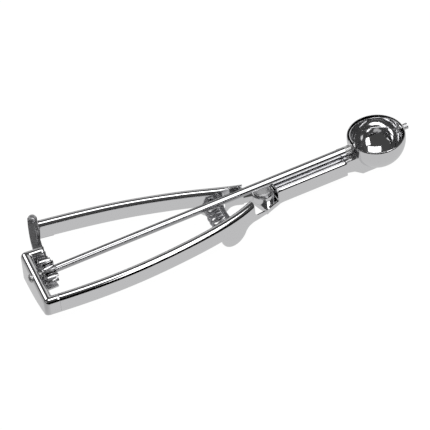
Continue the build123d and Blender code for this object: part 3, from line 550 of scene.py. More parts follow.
@dataclass(frozen=True)
class Fold:
    """Section of a strip folded over a round top: two upright webs joined by a crown."""

    width: float = 5.5
    top: float = 8.8
    bend: float = 2.65
    wall: float = 0.9

    @property
    def flat(self) -> float:
        """Half of the level part of the crown."""
        return self.width / 2 - self.bend

    @property
    def crown(self) -> float:
        """Distance over the fold from its middle to where a web starts."""
        return self.flat + self.bend * pi / 2

    @property
    def shoulder(self) -> float:
        """Height where the webs start."""
        return self.top - self.bend

    def across(self, height: Array | float, side: int) -> Array:
        """Distance over the fold, from its middle, of a height on one web or its part of the crown.

        The crown is a level part and a quarter circle on each side: a drop d below the top lies at the angle
        whose cosine is 1 - d / bend.
        """
        drop = np.clip((self.top - np.asarray(height, float)) / self.bend, 0, 1)
        bent = self.flat + self.bend * np.arccos(1 - drop)
        return side * np.where(np.asarray(height) < self.shoulder, self.crown + self.shoulder - height, bent)

    def section(self, across: Array, depth: float) -> tuple[Array, Array]:
        """Fold distances across the strip into the section.

        Args:
            across: Distances over the fold from its middle, below 0 on the front side.
            depth: How far below the outer face.

        Returns:
            Distances behind the front face, and heights.
        """
        side, reach = np.sign(across), np.abs(across)
        bent = np.clip((reach - self.flat) / self.bend, 0, pi / 2)
        radius = self.bend - depth
        behind = self.width / 2 + side * (np.minimum(reach, self.flat) + radius * np.sin(bent))
        height = self.top - depth - radius * (1 - np.cos(bent)) - np.maximum(reach - self.crown, 0)
        return behind, height


def fold_rows(fold: Fold, low: float, web_step: float, bend_steps: int = 14) -> Array:
    """Distances over a fold at which its surface gets a row of points.

    Args:
        fold: The fold.
        low: Height below which no row is needed.
        web_step: Distance between rows on a web.
        bend_steps: Steps over a quarter circle of the crown.

    Returns:
        The distances, from the front web's to the rear web's.
    """
    bent = fold.flat + fold.bend * np.linspace(0, pi / 2, bend_steps + 1)
    web = np.arange(fold.crown + web_step / 2, fold.crown + fold.shoulder - low, web_step)
    half = np.concatenate([bent, web])
    return np.concatenate([-half[::-1], half])


def spaced(grid: Array, outline: Array, holes: Sequence[Array]) -> Array:
    """Grid points that lie inside an outline, outside its holes and not close to any edge.

    Args:
        grid: Flat points.
        outline: The outline.
        holes: Loops inside it.

    Returns:
        The points that are left.
    """
    keep = inside(grid, outline)
    for hole in holes:
        keep &= ~inside(grid, hole)
    grid = grid[keep]
    edge = np.vstack([outline, *holes])
    near = np.hypot(edge[None, :, 0] - grid[:, None, 0], edge[None, :, 1] - grid[:, None, 1]).min(axis=1)
    return grid[near > EDGE_GAP]


# ------------------------------------------------------------------------------------ pieces
@dataclass
class Maker:
    """Turns shells into finished pieces that ride on the frame."""

    frame: dict
    slots: dict[str, str] = field(default_factory=dict)

    def __post_init__(self) -> None:
        """Note which slot of the record each node takes its finish from."""
        self.slots = {row["node"]: row["material_slot"] for row in self.frame["record"]["subparts"]}

    def body(self, node: str) -> str:
        """Name of the body that a node rides on."""
        return self.frame["nodes"][node]["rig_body"]

    def piece(self, node: str, shell: Shell, finish: SteelFinish, edge: float = 0.0,
              blend: tuple | None = None) -> bpy.types.Object:
        """Make the piece that stands for a node.

        Args:
            node: The node that the piece replaces.
            shell: Its surface, in millimetres.
            finish: Its finish.
            edge: Width of the broken edges, in millimetres; 0 leaves them sharp.
            blend: Two bodies and two points in metres. When given, the piece keeps its place and rides on no
                body; the bodies and points are not used.

        Returns:
            The new object.
        """
        mesh = bpy.data.meshes.new(f"{node}_finished")
        mesh.from_pydata((shell.points * MM).tolist(), [], shell.faces)
        self.weld(mesh)
        made = bpy.data.objects.new(f"{node}_finished", mesh)
        bpy.context.scene.collection.objects.link(made)
        if edge > 0:
            self.break_edges(made, edge)
        self.shade(made.data)
        made.data.materials.clear()
        made.data.materials.append(finish.material())
        if blend:
            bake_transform(made)
        else:
            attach(made, self.body(node))
        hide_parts(node)
        log.info("%s: %d faces", made.name, len(made.data.polygons))
        return made

    @staticmethod
    def weld(mesh: bpy.types.Mesh) -> None:
        """Merge points that coincide and turn every face outwards.

        Args:
            mesh: The mesh, changed in place.
        """
        work = bmesh.new()
        work.from_mesh(mesh)
        bmesh.ops.remove_doubles(work, verts=work.verts, dist=MERGE)
        bmesh.ops.dissolve_degenerate(work, edges=work.edges, dist=SLIVER)
        bmesh.ops.recalc_face_normals(work, faces=work.faces)
        work.to_mesh(mesh)
        work.free()

    @staticmethod
    def break_edges(made: bpy.types.Object, edge: float, steps: int = 2) -> None:
        """Round every sharp edge a little and keep the result as the mesh.

        Args:
            made: The object.
            edge: Width of a broken edge, in millimetres.
            steps: Faces across it.
        """
        bevel = made.modifiers.new("broken_edges", "BEVEL")
        bevel.width = edge * MM
        bevel.segments = steps
        bevel.limit_method = "ANGLE"
        bevel.angle_limit = BREAK_ANGLE
        bevel.use_clamp_overlap = False
        bevel.loop_slide = False
        graph = bpy.context.evaluated_depsgraph_get()
        done = bpy.data.meshes.new_from_object(made.evaluated_get(graph))
        made.modifiers.clear()
        made.data = done

    @staticmethod
    def shade(mesh: bpy.types.Mesh) -> None:
        """Shade smoothly, except over sharp edges."""
        mesh.shade_smooth()
        mesh.set_sharp_from_angle(angle=SMOOTH_ANGLE)

    def dressed(self, node: str, finish: SteelFinish) -> bpy.types.Object:
        """Make a welded, smoothly shaded copy of a node that stands for it.

        Args:
            node: The node.
            finish: Its finish.

        Returns:
            The new object.
        """
        source = self.frame["nodes"][node].data
        points = np.empty(len(source.vertices) * 3)
        source.vertices.foreach_get("co", points)
        faces = [tuple(face.vertices) for face in source.polygons]
        return self.piece(node, Shell(points.reshape(-1, 3) / MM, faces), finish)


@dataclass
class BowlGroup:
    """Bowl, scraper blade, the blade's front pivot and the bearing at the back of the bowl."""

    centre: tuple[float, float, float] = (70.2, 0.0, 6.7)
    radius: float = 16.0
    wall: float = 0.8
    band: float = 3.2
    blade_outer: float = 14.85
    blade_wall: float = 0.6
    blade_half: float = 3.5
    tab: float = 3.4
    parked: float = radians(-5)
    stub_radius: float = 1.65
    stub_length: float = 3.2
    pin: float = 1.0
    pin_head: float = 1.9
    pin_head_wall: float = 0.6
    pin_head_gap: float = 0.35   # between the head and the blade
    rim_round: float = 0.18
    rim_lean: float = 0.55
    rim_height: float = 1.5
    stub_rounds: tuple = (0, 0.25, 0.1, 0, 0, 0, 0.55, 0)         # one for each corner of its profile
    blade_edge: float = 0.1
    blade_tip: float = 0.01      # half width at its very ends
    rows: int = 40
    rim_rows: int = 14
    segments: int = 144
    stub_segments: int = 48
    blade_rows: int = 60
    blade_end_rows: int = 10
    blade_columns: int = 13

    def bowl(self) -> Shell:
        """Half ball with a straight band: outside up, over the rim and down inside.

        The rim's outer side is a quarter of an ellipse, taller than wide, and its inner edge a small arc.

        Returns:
            The bowl.
        """
        outer, inner = self.radius, self.radius - self.wall
        down = np.linspace(-pi / 2, 0, self.rows)
        outside = np.column_stack([outer * np.sin(down), outer * np.cos(down)])
        lean = np.linspace(0, pi / 2, self.rim_rows)
        outer_edge = np.column_stack([self.band - self.rim_height * (1 - np.sin(lean)),
                                      outer - self.rim_lean * (1 - np.cos(lean))])
        inner_edge = rounded([outer_edge[-1], (self.band, inner), (0, inner)], (0, self.rim_round, 0),
                             EDGE_STEPS)
        rim = np.vstack([[[0, outer]], outer_edge, inner_edge[1:]])
        inside_line = np.column_stack([inner * np.sin(down), inner * np.cos(down)])[::-1]
        profile = np.vstack([outside[:-1], rim, inside_line[1:]])
        return turned(profile, self.centre, UP, self.segments)

    def blade(self) -> Shell:
        """Strip of a ball from one blade pivot to the other, with round ends.

        The angle u runs from the front pivot to the rear one and past both. Between them the strip's half
        width is constant, and beyond them it follows a circle about each pivot.

        Returns:
            The blade at rest.
        """
        line = np.array([1.0, 0.0, 0.0])
        toward = np.array([0.0, cos(self.parked), sin(self.parked)])
        side = np.cross(line, toward)
        past = asin(self.tab / self.blade_outer)
        round_part = -past * np.cos(np.linspace(0, pi / 2, self.blade_end_rows))
        angle = np.concatenate([round_part, np.linspace(0, pi, self.blade_rows)[1:-1], pi - round_part[::-1]])
        beyond = np.maximum(np.maximum(-angle, angle - pi), 0)
        reach = self.blade_outer * np.sin(beyond)
        end_half = np.sqrt(np.maximum(self.tab**2 - reach**2, self.blade_tip**2))
        half = np.where(beyond > 0, end_half, self.blade_half)
        share = np.linspace(-1, 1, self.blade_columns)
        skins = []
        for radius in (self.blade_outer, self.blade_outer - self.blade_wall):
            off = half[:, None] * share[None, :]
            round_it = np.sqrt(radius**2 - off**2)
            spin = np.cos(angle)[:, None, None] * line + np.sin(angle)[:, None, None] * toward
            skins.append(np.asarray(self.centre) + off[..., None] * side + round_it[..., None] * spin)
        return grid_shell(*skins)

    def stub(self) -> Shell:
        """Rivet that the blade's front end turns on: a stub outside the bowl, a pin and a head inside.

        Returns:
            The rivet.
        """
        foot = sqrt(self.radius**2 - self.stub_radius**2)
        end = self.radius + self.stub_length
        head_end = self.blade_outer - self.blade_wall - self.pin_head_gap
        head_start = head_end - self.pin_head_wall
        profile = rounded([(head_start, 0), (head_start, self.pin_head), (head_end, self.pin_head),
                           (head_end, self.pin), (foot, self.pin), (foot, self.stub_radius),
                           (end, self.stub_radius), (end, 0)], self.stub_rounds, ARC_STEPS)
        return turned(profile, self.centre, (1, 0, 0), self.stub_segments)

    def build(self, maker: Maker) -> None:
        """Make and place the group's pieces.

        Args:
            maker: Makes the pieces.
        """
        maker.piece("bowl", self.bowl(), BOWL_STEEL)
        maker.piece("scraper_blade", self.blade(), BOWL_STEEL, edge=self.blade_edge)
        maker.piece("blade_pivot_rivet", self.stub(), SCREW_STEEL)
        maker.dressed("front_bearing", SHADED_BEARING_STEEL)


@dataclass
class ShaftGroup:
    """Shaft, pinion, cross pin, washer and the rear bearing."""

    height: float = 6.7
    radius: float = 2.25
    journal: float = 1.2
    shank: float = 1.25
    end: float = -138.09
    rear: float = -130.43
    front: float = 50.4
    blade_face: float = 55.95
    head: float = 2.1
    head_wall: float = 0.9
    head_gap: float = 0.35       # between the head and the blade
    rounds: tuple = (0, 0.3, 0, 0.2, 0.25, 0, 0, 0.2, 0.35, 0)    # one for each corner of its profile
    ring_gap: float = 3.0        # between rings of points along the bar
    segments: int = 64
    module: float = 1.25
    teeth: int = 9
    pressure: float = radians(25)
    play: float = 0.34           # between teeth, along the pitch circle
    addendum: float = 0.9        # in modules
    dedendum: float = 1.15       # in modules
    foot_share: float = 1.02     # how much wider a tooth is at its root than at its base circle
    flank_rows: int = 6
    pinion_edge: float = 0.09
    pinion_start: float = -129.88
    pinion_end: float = -123.5

    @property
    def pitch(self) -> float:
        """Pitch radius of the pinion."""
        return self.module * self.teeth / 2

    def shaft(self) -> Shell:
        """Round bar, stepped down at both ends, with a riveted end in the blade.

        Returns:
            The shaft.
        """
        start = self.blade_face + self.head_gap
        end = start + self.head_wall
        profile = rounded([(self.end, 0), (self.end, self.journal), (self.rear, self.journal),
                           (self.rear, self.radius), (self.front, self.radius), (self.front, self.shank),
                           (start, self.shank), (start, self.head), (end, self.head), (end, 0)],
                          self.rounds, ARC_STEPS)
        rings = dense(profile, self.ring_gap, closed=False)
        return turned(rings, (0, 0, self.height), (1, 0, 0), self.segments)

    def pinion_outline(self) -> Array:
        """Outline of the teeth, as involutes.

        The involute angle is inv(a) = tan(a) - a, and roll is the angle whose cosine is base / r. At a radius
        r half a tooth covers its share of the pitch circle plus inv(pressure) less inv(roll).

        Returns:
            The outline, tooth by tooth.
        """
        base = self.pitch * cos(self.pressure)
        tip, root = self.pitch + self.addendum * self.module, self.pitch - self.dedendum * self.module
        radii = np.linspace(base, tip, self.flank_rows)
        roll = np.arccos(np.minimum(1, base / radii))
        tooth_half = (pi * self.module - self.play) / 4
        half = tooth_half / self.pitch + tan(self.pressure) - self.pressure - np.tan(roll) + roll
        foot = half[0] * self.foot_share
        rise = np.concatenate([[-foot], -half])
        reach = np.concatenate([[root], radii])
        angle = np.concatenate([rise, -rise[::-1]])
        radius = np.concatenate([reach, reach[::-1]])
        places = np.arange(self.teeth)[:, None] * 2 * pi / self.teeth + angle[None, :]
        spread = np.broadcast_to(radius, places.shape)
        return np.column_stack([(spread * np.sin(places)).ravel(), (spread * np.cos(places)).ravel()])

    def build(self, maker: Maker) -> None:
        """Make and place the group's pieces.

        Args:
            maker: Makes the pieces.
        """
        maker.piece("shaft", self.shaft(), SHADED_ROD_STEEL)
        outline = self.pinion_outline()
        points, triangles = filled(outline, [circle(0, 0, self.radius)], np.empty((0, 2)))
        place = framed_place(np.array([self.pinion_end, 0, self.height]), np.array([0.0, 1, 0]), UP)
        pinion = plate(points, triangles, place, self.pinion_end - self.pinion_start)
        maker.piece("pinion", pinion, SHADED_PINION_STEEL, edge=self.pinion_edge)
        maker.dressed("pinion_pin", SCREW_STEEL)
        maker.dressed("shaft_washer", SCREW_STEEL)
        maker.dressed("rear_bearing", SHADED_BEARING_STEEL)


@dataclass
class Arm:
    """One arm: a strip folded over a round top along a plan line, with a round lobe on each web."""

    line: Curve
    fold: Fold = field(default_factory=Fold)
    bottom: float = -0.8
    lobe: tuple[float, float] = (-26.5, 0.1)
    lobe_radius: float = 8.7
    hollow: float = 5.0
    tail: float = -2.3
    bore_height: float = -1.7
    bore: float = 5.9
    step: float = 1.6
    lobe_rows: int = 40
    hollow_rows: int = 14
    bore_rows: int = 56

    def lobe_edge(self) -> Array:
        """Lower edge round the lobe, as (x, height).

        An arc of the lobe, from where it leaves the straight edge to where it meets the hollow. Then the
        hollow's arc, which touches the lobe and whose centre lies its radius below the tail's edge.

        Returns:
            The edge, from the far end towards the pivot.
        """
        x, z = self.lobe
        start = pi - asin((self.bottom - z) / self.lobe_radius)
        drop = z - (self.tail - self.hollow)
        reach = sqrt((self.lobe_radius + self.hollow) ** 2 - drop**2)
        meet = 2 * pi + atan2(-drop, reach)
        turn = np.linspace(start, meet, self.lobe_rows)
        arc = np.column_stack([x + self.lobe_radius * np.cos(turn), z + self.lobe_radius * np.sin(turn)])
        back = np.linspace(meet - pi, pi / 2, self.hollow_rows)[1:]
        blend = np.column_stack([x + reach + self.hollow * np.cos(back),
                                 self.tail - self.hollow + self.hollow * np.sin(back)])
        return np.vstack([arc, blend])

    def unfold(self, marks: Array, side: int) -> Array:
        """Flat place, along and over the fold, of (x, height) marks on one web."""
        depth = 0.0 if side < 0 else self.fold.width
        return np.column_stack([self.line.station(marks[:, 0], depth), self.fold.across(marks[:, 1], side)])

    def over(self, start: float, end: float, low: float, high: float, steps: int = 30) -> Array:
        """Flat line over the fold between two distances across it, from one distance along to another."""
        across = np.linspace(low, high, steps)
        behind, _ = self.fold.section(across, 0.0)
        return np.column_stack([start + (end - start) * behind / self.fold.width, across])

    def bore_loop(self, side: int) -> Array:
        """Flat outline of the spring's hole in one web."""
        return self.unfold(circle(self.lobe[0], self.bore_height, self.bore, self.bore_rows), side)

    def place(self, flat: Array, depth: float) -> Array:
        """Fold flat points: along the plan line, behind its front face, and down from the crown."""
        behind, height = self.fold.section(flat[:, 1], depth)
        return np.column_stack([self.line.offset(flat[:, 0], behind), height])

    def folded(self, outline: Array, holes: Sequence[Array]) -> Shell:
        """Fill an unfolded outline and fold it up.

        Args:
            outline: The strip laid flat: along the plan line, and over the fold.
            holes: Loops left open.

        Returns:
            The folded strip with its wall.
        """
        loop = dense(outline, self.step / 2)
        rows = fold_rows(self.fold, self.lobe[1] - self.lobe_radius - 1, self.step)
        along = np.arange(outline[:, 0].min(), outline[:, 0].max(), self.step)
        grid = np.stack(np.meshgrid(along, rows, indexing="ij"), axis=-1).reshape(-1, 2)
        inner = spaced(grid, loop, holes)
        points, triangles = filled(loop, holes, inner)
        return plate(points, triangles, self.place, self.fold.wall)


@dataclass
class ArmGroup:
    """Both arms, the spring seats and the return spring."""

    fixed_face: tuple = ((-131.0, -23.5), (-112.0, -25.2), (-88.0, -25.8), (-60.0, -24.2), (-37.0, -21.3),
                         (-15.0, -15.7), (-4.0, -10.9), (6.2, -7.0))
    moving_face: tuple = ((-118.2, 32.8), (-91.8, 27.6), (-70.8, 22.4), (-49.8, 15.6), (-35.1, 10.0),
                          (-25.6, 5.9), (-11.2, 0.1))
    top_end: float = -11.5
    web_tail: tuple = ((-13.2, -2.3), (-8.7, -3.5), (-3.4, -4.8), (-3.4, -2.3), (-9.8, 0.1), (-11.5, 2.2))
    rack_inner: float = 121.5
    rod_clear: float = 4.15
    rod_half: float = 2.55
    cut_rows: int = 60
    end_rows: int = 12
    cut_end: float = 0.02        # over the fold, from the cut's last point to its corner
    cut_gap: float = 0.3         # over the fold, from there to the end's first point
    squeeze: float = radians(7.706)
    edge: float = 0.14
    wire: float = 0.65
    coil: float = 4.85
    turns: float = 8.5
    turn_steps: int = 48
    closing: float = 0.16        # how much closer the coil's turns are at its ends and in its middle
    spring_ends: tuple = ((-26.85, -17.2, -1.7), (-25.4, 8.85, -1.7))
    spring_leaves: tuple = ((-0.247, 0.969, 0.0), (0.396, 0.918, 0.0))
    bends_between: tuple = ((-0.0265, -0.016, -0.0017), (-0.0265, 0.0075, -0.0017))   # metres

    def fixed(self) -> Shell:
        """Fixed arm: its crown ends short of the pivot and its front web runs on to the pivot plate.

        Returns:
            The fixed arm.
        """
        arm = Arm(Curve.through(self.fixed_face))
        fold, front, rear = arm.fold, -1, 1
        low = fold.across(arm.bottom, rear)
        lobe = arm.lobe_edge()
        front_edge = np.vstack([[[self.fixed_face[0][0], arm.bottom]], lobe, self.web_tail,
                                [[self.top_end, fold.shoulder]]])
        rear_edge = np.vstack([[[self.top_end, fold.shoulder], [self.top_end, arm.tail]], lobe[::-1]])
        ends = arm.line.station(self.top_end, 0.0), arm.line.station(self.top_end, fold.width)
        outline = np.vstack([arm.unfold(front_edge, front),
                             arm.over(*ends, -fold.crown, fold.crown)[1:-1],
                             arm.unfold(rear_edge, rear),
                             [[0.0, low]],
                             arm.over(0, 0, fold.crown, -fold.crown)])
        outline[0, 0] = 0.0
        return arm.folded(outline, [arm.bore_loop(rear)])

    def moving(self) -> Shell:
        """Moving arm: cut square to the pivot at the rack, and cut away where it passes under the shaft.

        Returns:
            The moving arm, at rest.
        """
        arm = Arm(Curve.through(self.moving_face))
        fold, front, rear = arm.fold, -1, 1
        lobe = arm.lobe_edge()
        starts = [float(np.interp(-self.rack_inner, -np.hypot(*arm.line.side(depth).T), arm.line.along))
                  for depth in (0.0, fold.width)]
        end = arm.line.length
        rod = np.array([sin(self.squeeze), cos(self.squeeze)])
        across = np.linspace(-fold.across(self.rod_clear, 1), fold.crown, self.cut_rows)
        behind, _ = fold.section(across, 0.0)
        cut = []
        for over, depth in zip(across, behind):
            reach = arm.line.side(float(depth)) @ rod
            inside_now = np.nonzero(reach < self.rod_half)[0]
            if len(inside_now):
                cut.append((arm.line.along[inside_now[0]], over))
        notch = np.array([(end, across[0]), *cut, (end, cut[-1][1] + self.cut_end)])
        front_edge = arm.unfold(lobe, front)
        rear_edge = arm.unfold(lobe[::-1], rear)
        low, tail = fold.across(arm.bottom, rear), fold.across(arm.tail, rear)
        last = arm.over(end, end, cut[-1][1] + self.cut_gap, fold.crown, self.end_rows)
        outline = np.vstack([[[starts[0], -low]], front_edge, [[end, -tail]], notch, last, [[end, tail]],
                             rear_edge, [[starts[1], low]], arm.over(*starts, fold.crown, -fold.crown)])
        return arm.folded(outline, [arm.bore_loop(front)])

    def spring(self) -> Shell:
        """Coil spring bent between its two seats.

        Its middle line is a cubic that leaves each seat square to it. The coil turns round that line. After a
        share u of the turns it has come the share u - closing * sin(4 pi u) / (4 pi) of the way. So the turns
        are closer at both ends, where a real spring is closed, and in the middle.

        Returns:
            The spring, at rest.
        """
        (start, end), (out, back) = np.array(self.spring_ends), np.array(self.spring_leaves)
        turn = np.linspace(0, 1, int(self.turns * self.turn_steps))
        t = (turn - self.closing * np.sin(4 * pi * turn) / (4 * pi))[:, None]
        span = np.linalg.norm(end - start)
        middle = ((2 * t**3 - 3 * t**2 + 1) * start + (t**3 - 2 * t**2 + t) * out * span
                  + (3 * t**2 - 2 * t**3) * end + (t**3 - t**2) * back * span)
        heading = np.gradient(middle, axis=0)
        heading /= np.linalg.norm(heading, axis=1)[:, None]
        level = np.cross(heading, UP)
        swing = (turn * self.turns * 2 * pi)[:, None]
        return tube(middle + self.coil * (np.cos(swing) * level + np.sin(swing) * UP), self.wire)

    def build(self, maker: Maker) -> None:
        """Make and place the group's pieces.

        Args:
            maker: Makes the pieces.
        """
        maker.piece("fixed_arm", self.fixed(), SHEET_STEEL, edge=self.edge)
        maker.piece("moving_arm", self.moving(), SHEET_STEEL, edge=self.edge)
        ends = [Vector(mark) for mark in self.bends_between]
        maker.piece("return_spring", self.spring(), SHADED_SPRING_STEEL, blend=("frame", "handle", *ends))
        maker.dressed("spring_seat_fixed", SHADED_INNER_STEEL)
        maker.dressed("spring_seat_moving", SHADED_INNER_STEEL)


@dataclass
class HousingGroup:
    """End housing, rack guide and splice."""

    line: tuple = ((-131.0, -23.5), (-139.3, -22.75), (-134.5, 19.6), (-122.6, 18.5))
    corner_round: float = 3.0
    inner_round: float = 0.8
    fold: Fold = field(default_factory=Fold)
    front_low: float = -0.8
    middle_low: float = -7.0
    rear_low: float = -8.0
    curl: float = 4.0
    shaft_height: float = 6.7
    bearing: float = 1.6
    slot: tuple[float, float] = (-3.86, 2.375)
    slot_x: float = -125.6
    step: float = 1.4
    corner_rows: int = 10
    edge_rows: int = 30
    bearing_rows: int = 40
    edge: float = 0.12

    def __post_init__(self) -> None:
        """Work out the directions of the three walls and the mitres of the two corners."""
        points = np.asarray(self.line, float)
        legs = np.diff(points, axis=0)
        self.lengths = np.linalg.norm(legs, axis=1)
        self.legs = legs / self.lengths[:, None]
        self.left = np.column_stack([self.legs[:, 1], -self.legs[:, 0]])
        self.turn = np.arccos(np.einsum("ij,ij->i", self.legs[:-1], self.legs[1:]))
        bisector = self.left[:-1] + self.left[1:]
        self.mitre = bisector / (1 + np.einsum("ij,ij->i", self.left[:-1], self.left[1:]))[:, None]
        reach = self.corner_round * np.tan(self.turn / 2)
        self.knots = np.cumsum([0, self.lengths[0] - reach[0], self.corner_round * self.turn[0],
                                self.lengths[1] - reach.sum(), self.corner_round * self.turn[1],
                                self.lengths[2] - reach[1]])

    def plan(self, along: Array, behind: Array) -> Array:
        """Plan place of distances along the outer line, moved in.

        Each wall moves in square to itself, each corner along its mitre. The corner's radius shrinks with the
        depth, down to the inner corner's.

        Args:
            along: Distances along the outer line.
            behind: How far in from it.

        Returns:
            Points in plan.
        """
        points = np.asarray(self.line, float)
        spans = len(self.knots) - 1
        span = np.clip(np.searchsorted(self.knots, along, side="right") - 1, 0, spans - 1)
        share = ((along - self.knots[span]) / (self.knots[span + 1] - self.knots[span]))[:, None]
        depth = behind[:, None]
        radius = np.maximum(self.corner_round - depth, self.inner_round)
        reach = radius * np.tan(self.turn / 2)[None, :]
        corners = [points[1] + self.mitre[0] * depth, points[2] + self.mitre[1] * depth]
        ends = [points[0] + self.left[0] * depth, points[3] + self.left[2] * depth]
        marks = [ends[0], corners[0] - self.legs[0] * reach[:, :1], corners[0] + self.legs[1] * reach[:, :1],
                 corners[1] - self.legs[1] * reach[:, 1:], corners[1] + self.legs[2] * reach[:, 1:], ends[1]]
        result = np.zeros((len(along), 2))
        for index in range(spans):
            here = span == index
            if index % 2 == 0:
                result[here] = (marks[index] + (marks[index + 1] - marks[index]) * share)[here]
                continue
            which = index // 2
            middle = marks[index] + self.left[which] * radius
            swing = self.turn[which] * share
            spoke = -self.left[which] * np.cos(swing) + self.legs[which] * np.sin(swing)
            result[here] = (middle + spoke * radius)[here]
        return result

    def rear_edge(self, along: Array) -> Array:
        """Height of the rear wall's lower edge.

        It is the circle y^2 + z^2 + p y + q z + r = 0 through the edge's two ends and its middle, whose three
        numbers solve three linear equations. It is never below the far end.

        Args:
            along: Distances along the outer line.

        Returns:
            The heights.
        """
        y = self.plan(along, np.zeros(len(along)))[:, 1]
        marks = np.array([(self.line[1][1], self.front_low), (0.0, self.middle_low),
                          (self.line[2][1], self.rear_low)])
        p, q, r = np.linalg.solve(np.column_stack([marks, np.ones(3)]), -(marks**2).sum(axis=1))
        height = -q / 2 - np.sqrt(q * q / 4 - y * y - p * y - r)
        return np.maximum(height, self.rear_low)

    def place(self, flat: Array, depth: float) -> Array:
        """Fold flat points round the housing."""
        behind, height = self.fold.section(flat[:, 1], depth)
        return np.column_stack([self.plan(flat[:, 0], behind), height])

    def housing(self) -> Shell:
        """Strip folded round both corners: low outer wall, curled inner rim and a slot for the rack.

        Returns:
            The housing.
        """
        fold = self.fold
        end = self.knots[-1]
        low = -fold.across(self.front_low, 1), -fold.across(self.rear_low, 1)
        sweep = np.linspace(self.knots[1], self.knots[4], self.edge_rows)
        slot_start = end - (self.line[3][0] - self.slot_x) / self.legs[2][0]
        slot = [-fold.across(height, 1) for height in self.slot]
        rim = fold.across(self.curl, 1)
        over = np.linspace(fold.crown, -fold.crown, self.edge_rows)
        outline = np.vstack([
            [[0.0, low[0]]],
            np.column_stack([sweep, -fold.across(self.rear_edge(sweep), 1)]),
            [[end, low[1]], [end, slot[0]], [slot_start, slot[0]], [slot_start, slot[1]], [end, slot[1]]],
            np.column_stack([np.full_like(over, end), -over]),
            [[end, rim], [0.0, rim]],
            np.column_stack([np.zeros_like(over), over])])
        corner = self.corner_round * tan(self.turn[0] / 2)
        middle = self.knots[2] - self.line[1][1] / self.legs[1][1] - corner
        ring = circle(0, 0, self.bearing, self.bearing_rows)
        hole = np.column_stack([middle + ring[:, 0], -fold.across(self.shaft_height + ring[:, 1], 1)])
        loop = dense(outline, self.step / 2)
        rows = fold_rows(fold, self.rear_low, self.step)
        corners = [np.linspace(*self.knots[first:first + 2], self.corner_rows) for first in (1, 3)]
        along = np.concatenate([np.arange(self.step, end, self.step), *corners])
        grid = np.stack(np.meshgrid(np.unique(along), rows, indexing="ij"), axis=-1).reshape(-1, 2)
        inner = spaced(grid, loop, [hole])
        points, triangles = filled(loop, [hole], inner)
        return plate(points, triangles, self.place, fold.wall)

    def build(self, maker: Maker) -> None:
        """Make and place the group's pieces."""
        maker.piece("end_housing", self.housing(), SHEET_STEEL, edge=self.edge)
        maker.dressed("rack_guide", SHADED_INNER_STEEL)
        maker.dressed("housing_splice", SHADED_INNER_STEEL)


@dataclass
class NeckGroup:
    """Neck and the saddle that carries the bowl."""

    start: float = 6.2
    flare: float = 10.6
    end: float = 48.6
    half: float = 6.4
    front_start: float = -7.0
    front_slope: float = 0.38
    top: float = 3.9
    bottom: float = -5.3
    bend: float = 1.4
    lean: float = 2.2            # height of a shoulder
    wall: float = 0.9
    edge: float = 0.14
    flare_rows: int = 12
    straight_rows: int = 25
    web_rows: int = 7
    bend_rows: int = 15
    top_rows: int = 6

    def neck(self) -> Shell:
        """Channel with a level top and rounded shoulders.

        The front side runs from the fixed arm's line into the straight side as a cubic. The section at each x
        is bottom, web, shoulder, level top, shoulder, web, bottom. A shoulder is a quarter of an ellipse,
        taller than wide, so that the web leans in a little before it turns over.

        Returns:
            The neck.
        """
        x = np.concatenate([np.linspace(self.start, self.flare, self.flare_rows),
                            np.linspace(self.flare, self.end, self.straight_rows + 1)[1:]])
        t = np.clip((x - self.start) / (self.flare - self.start), 0, 1)
        gap = self.flare - self.start
        front = ((2 * t**3 - 3 * t**2 + 1) * self.front_start + (t**3 - 2 * t**2 + t) * self.front_slope * gap
                 - (3 * t**2 - 2 * t**3) * self.half)
        skins = []
        for depth in (0.0, self.wall):
            bent = np.linspace(0, pi / 2, self.bend_rows)
            web = np.linspace(self.bottom, self.top - self.lean, self.web_rows + 1)[:-1]
            rise = np.concatenate([web, self.top - self.lean + (self.lean - depth) * np.sin(bent)])
            pull = np.concatenate([np.full(self.web_rows, depth),
                                   self.bend - (self.bend - depth) * np.cos(bent)])
            near = np.stack(np.broadcast_arrays(front[:, None] + pull, rise), axis=-1)
            far = np.stack(np.broadcast_arrays(self.half - pull + 0 * x[:, None], rise), axis=-1)[:, ::-1]
            share = np.linspace(0, 1, self.top_rows + 2)[1:-1][None, :, None]
            level = near[:, -1:] + (far[:, :1] - near[:, -1:]) * share
            section = np.concatenate([near, level, far], axis=1)
            stations = np.broadcast_to(x[:, None, None], (*section.shape[:2], 1))
            skins.append(np.concatenate([stations, section], axis=2))
        return grid_shell(*skins)

    def build(self, maker: Maker) -> None:
        """Make and place the group's pieces."""
        maker.piece("neck_shell", self.neck(), SHEET_STEEL, edge=self.edge)
        maker.dressed("bowl_saddle", SHEET_STEEL)


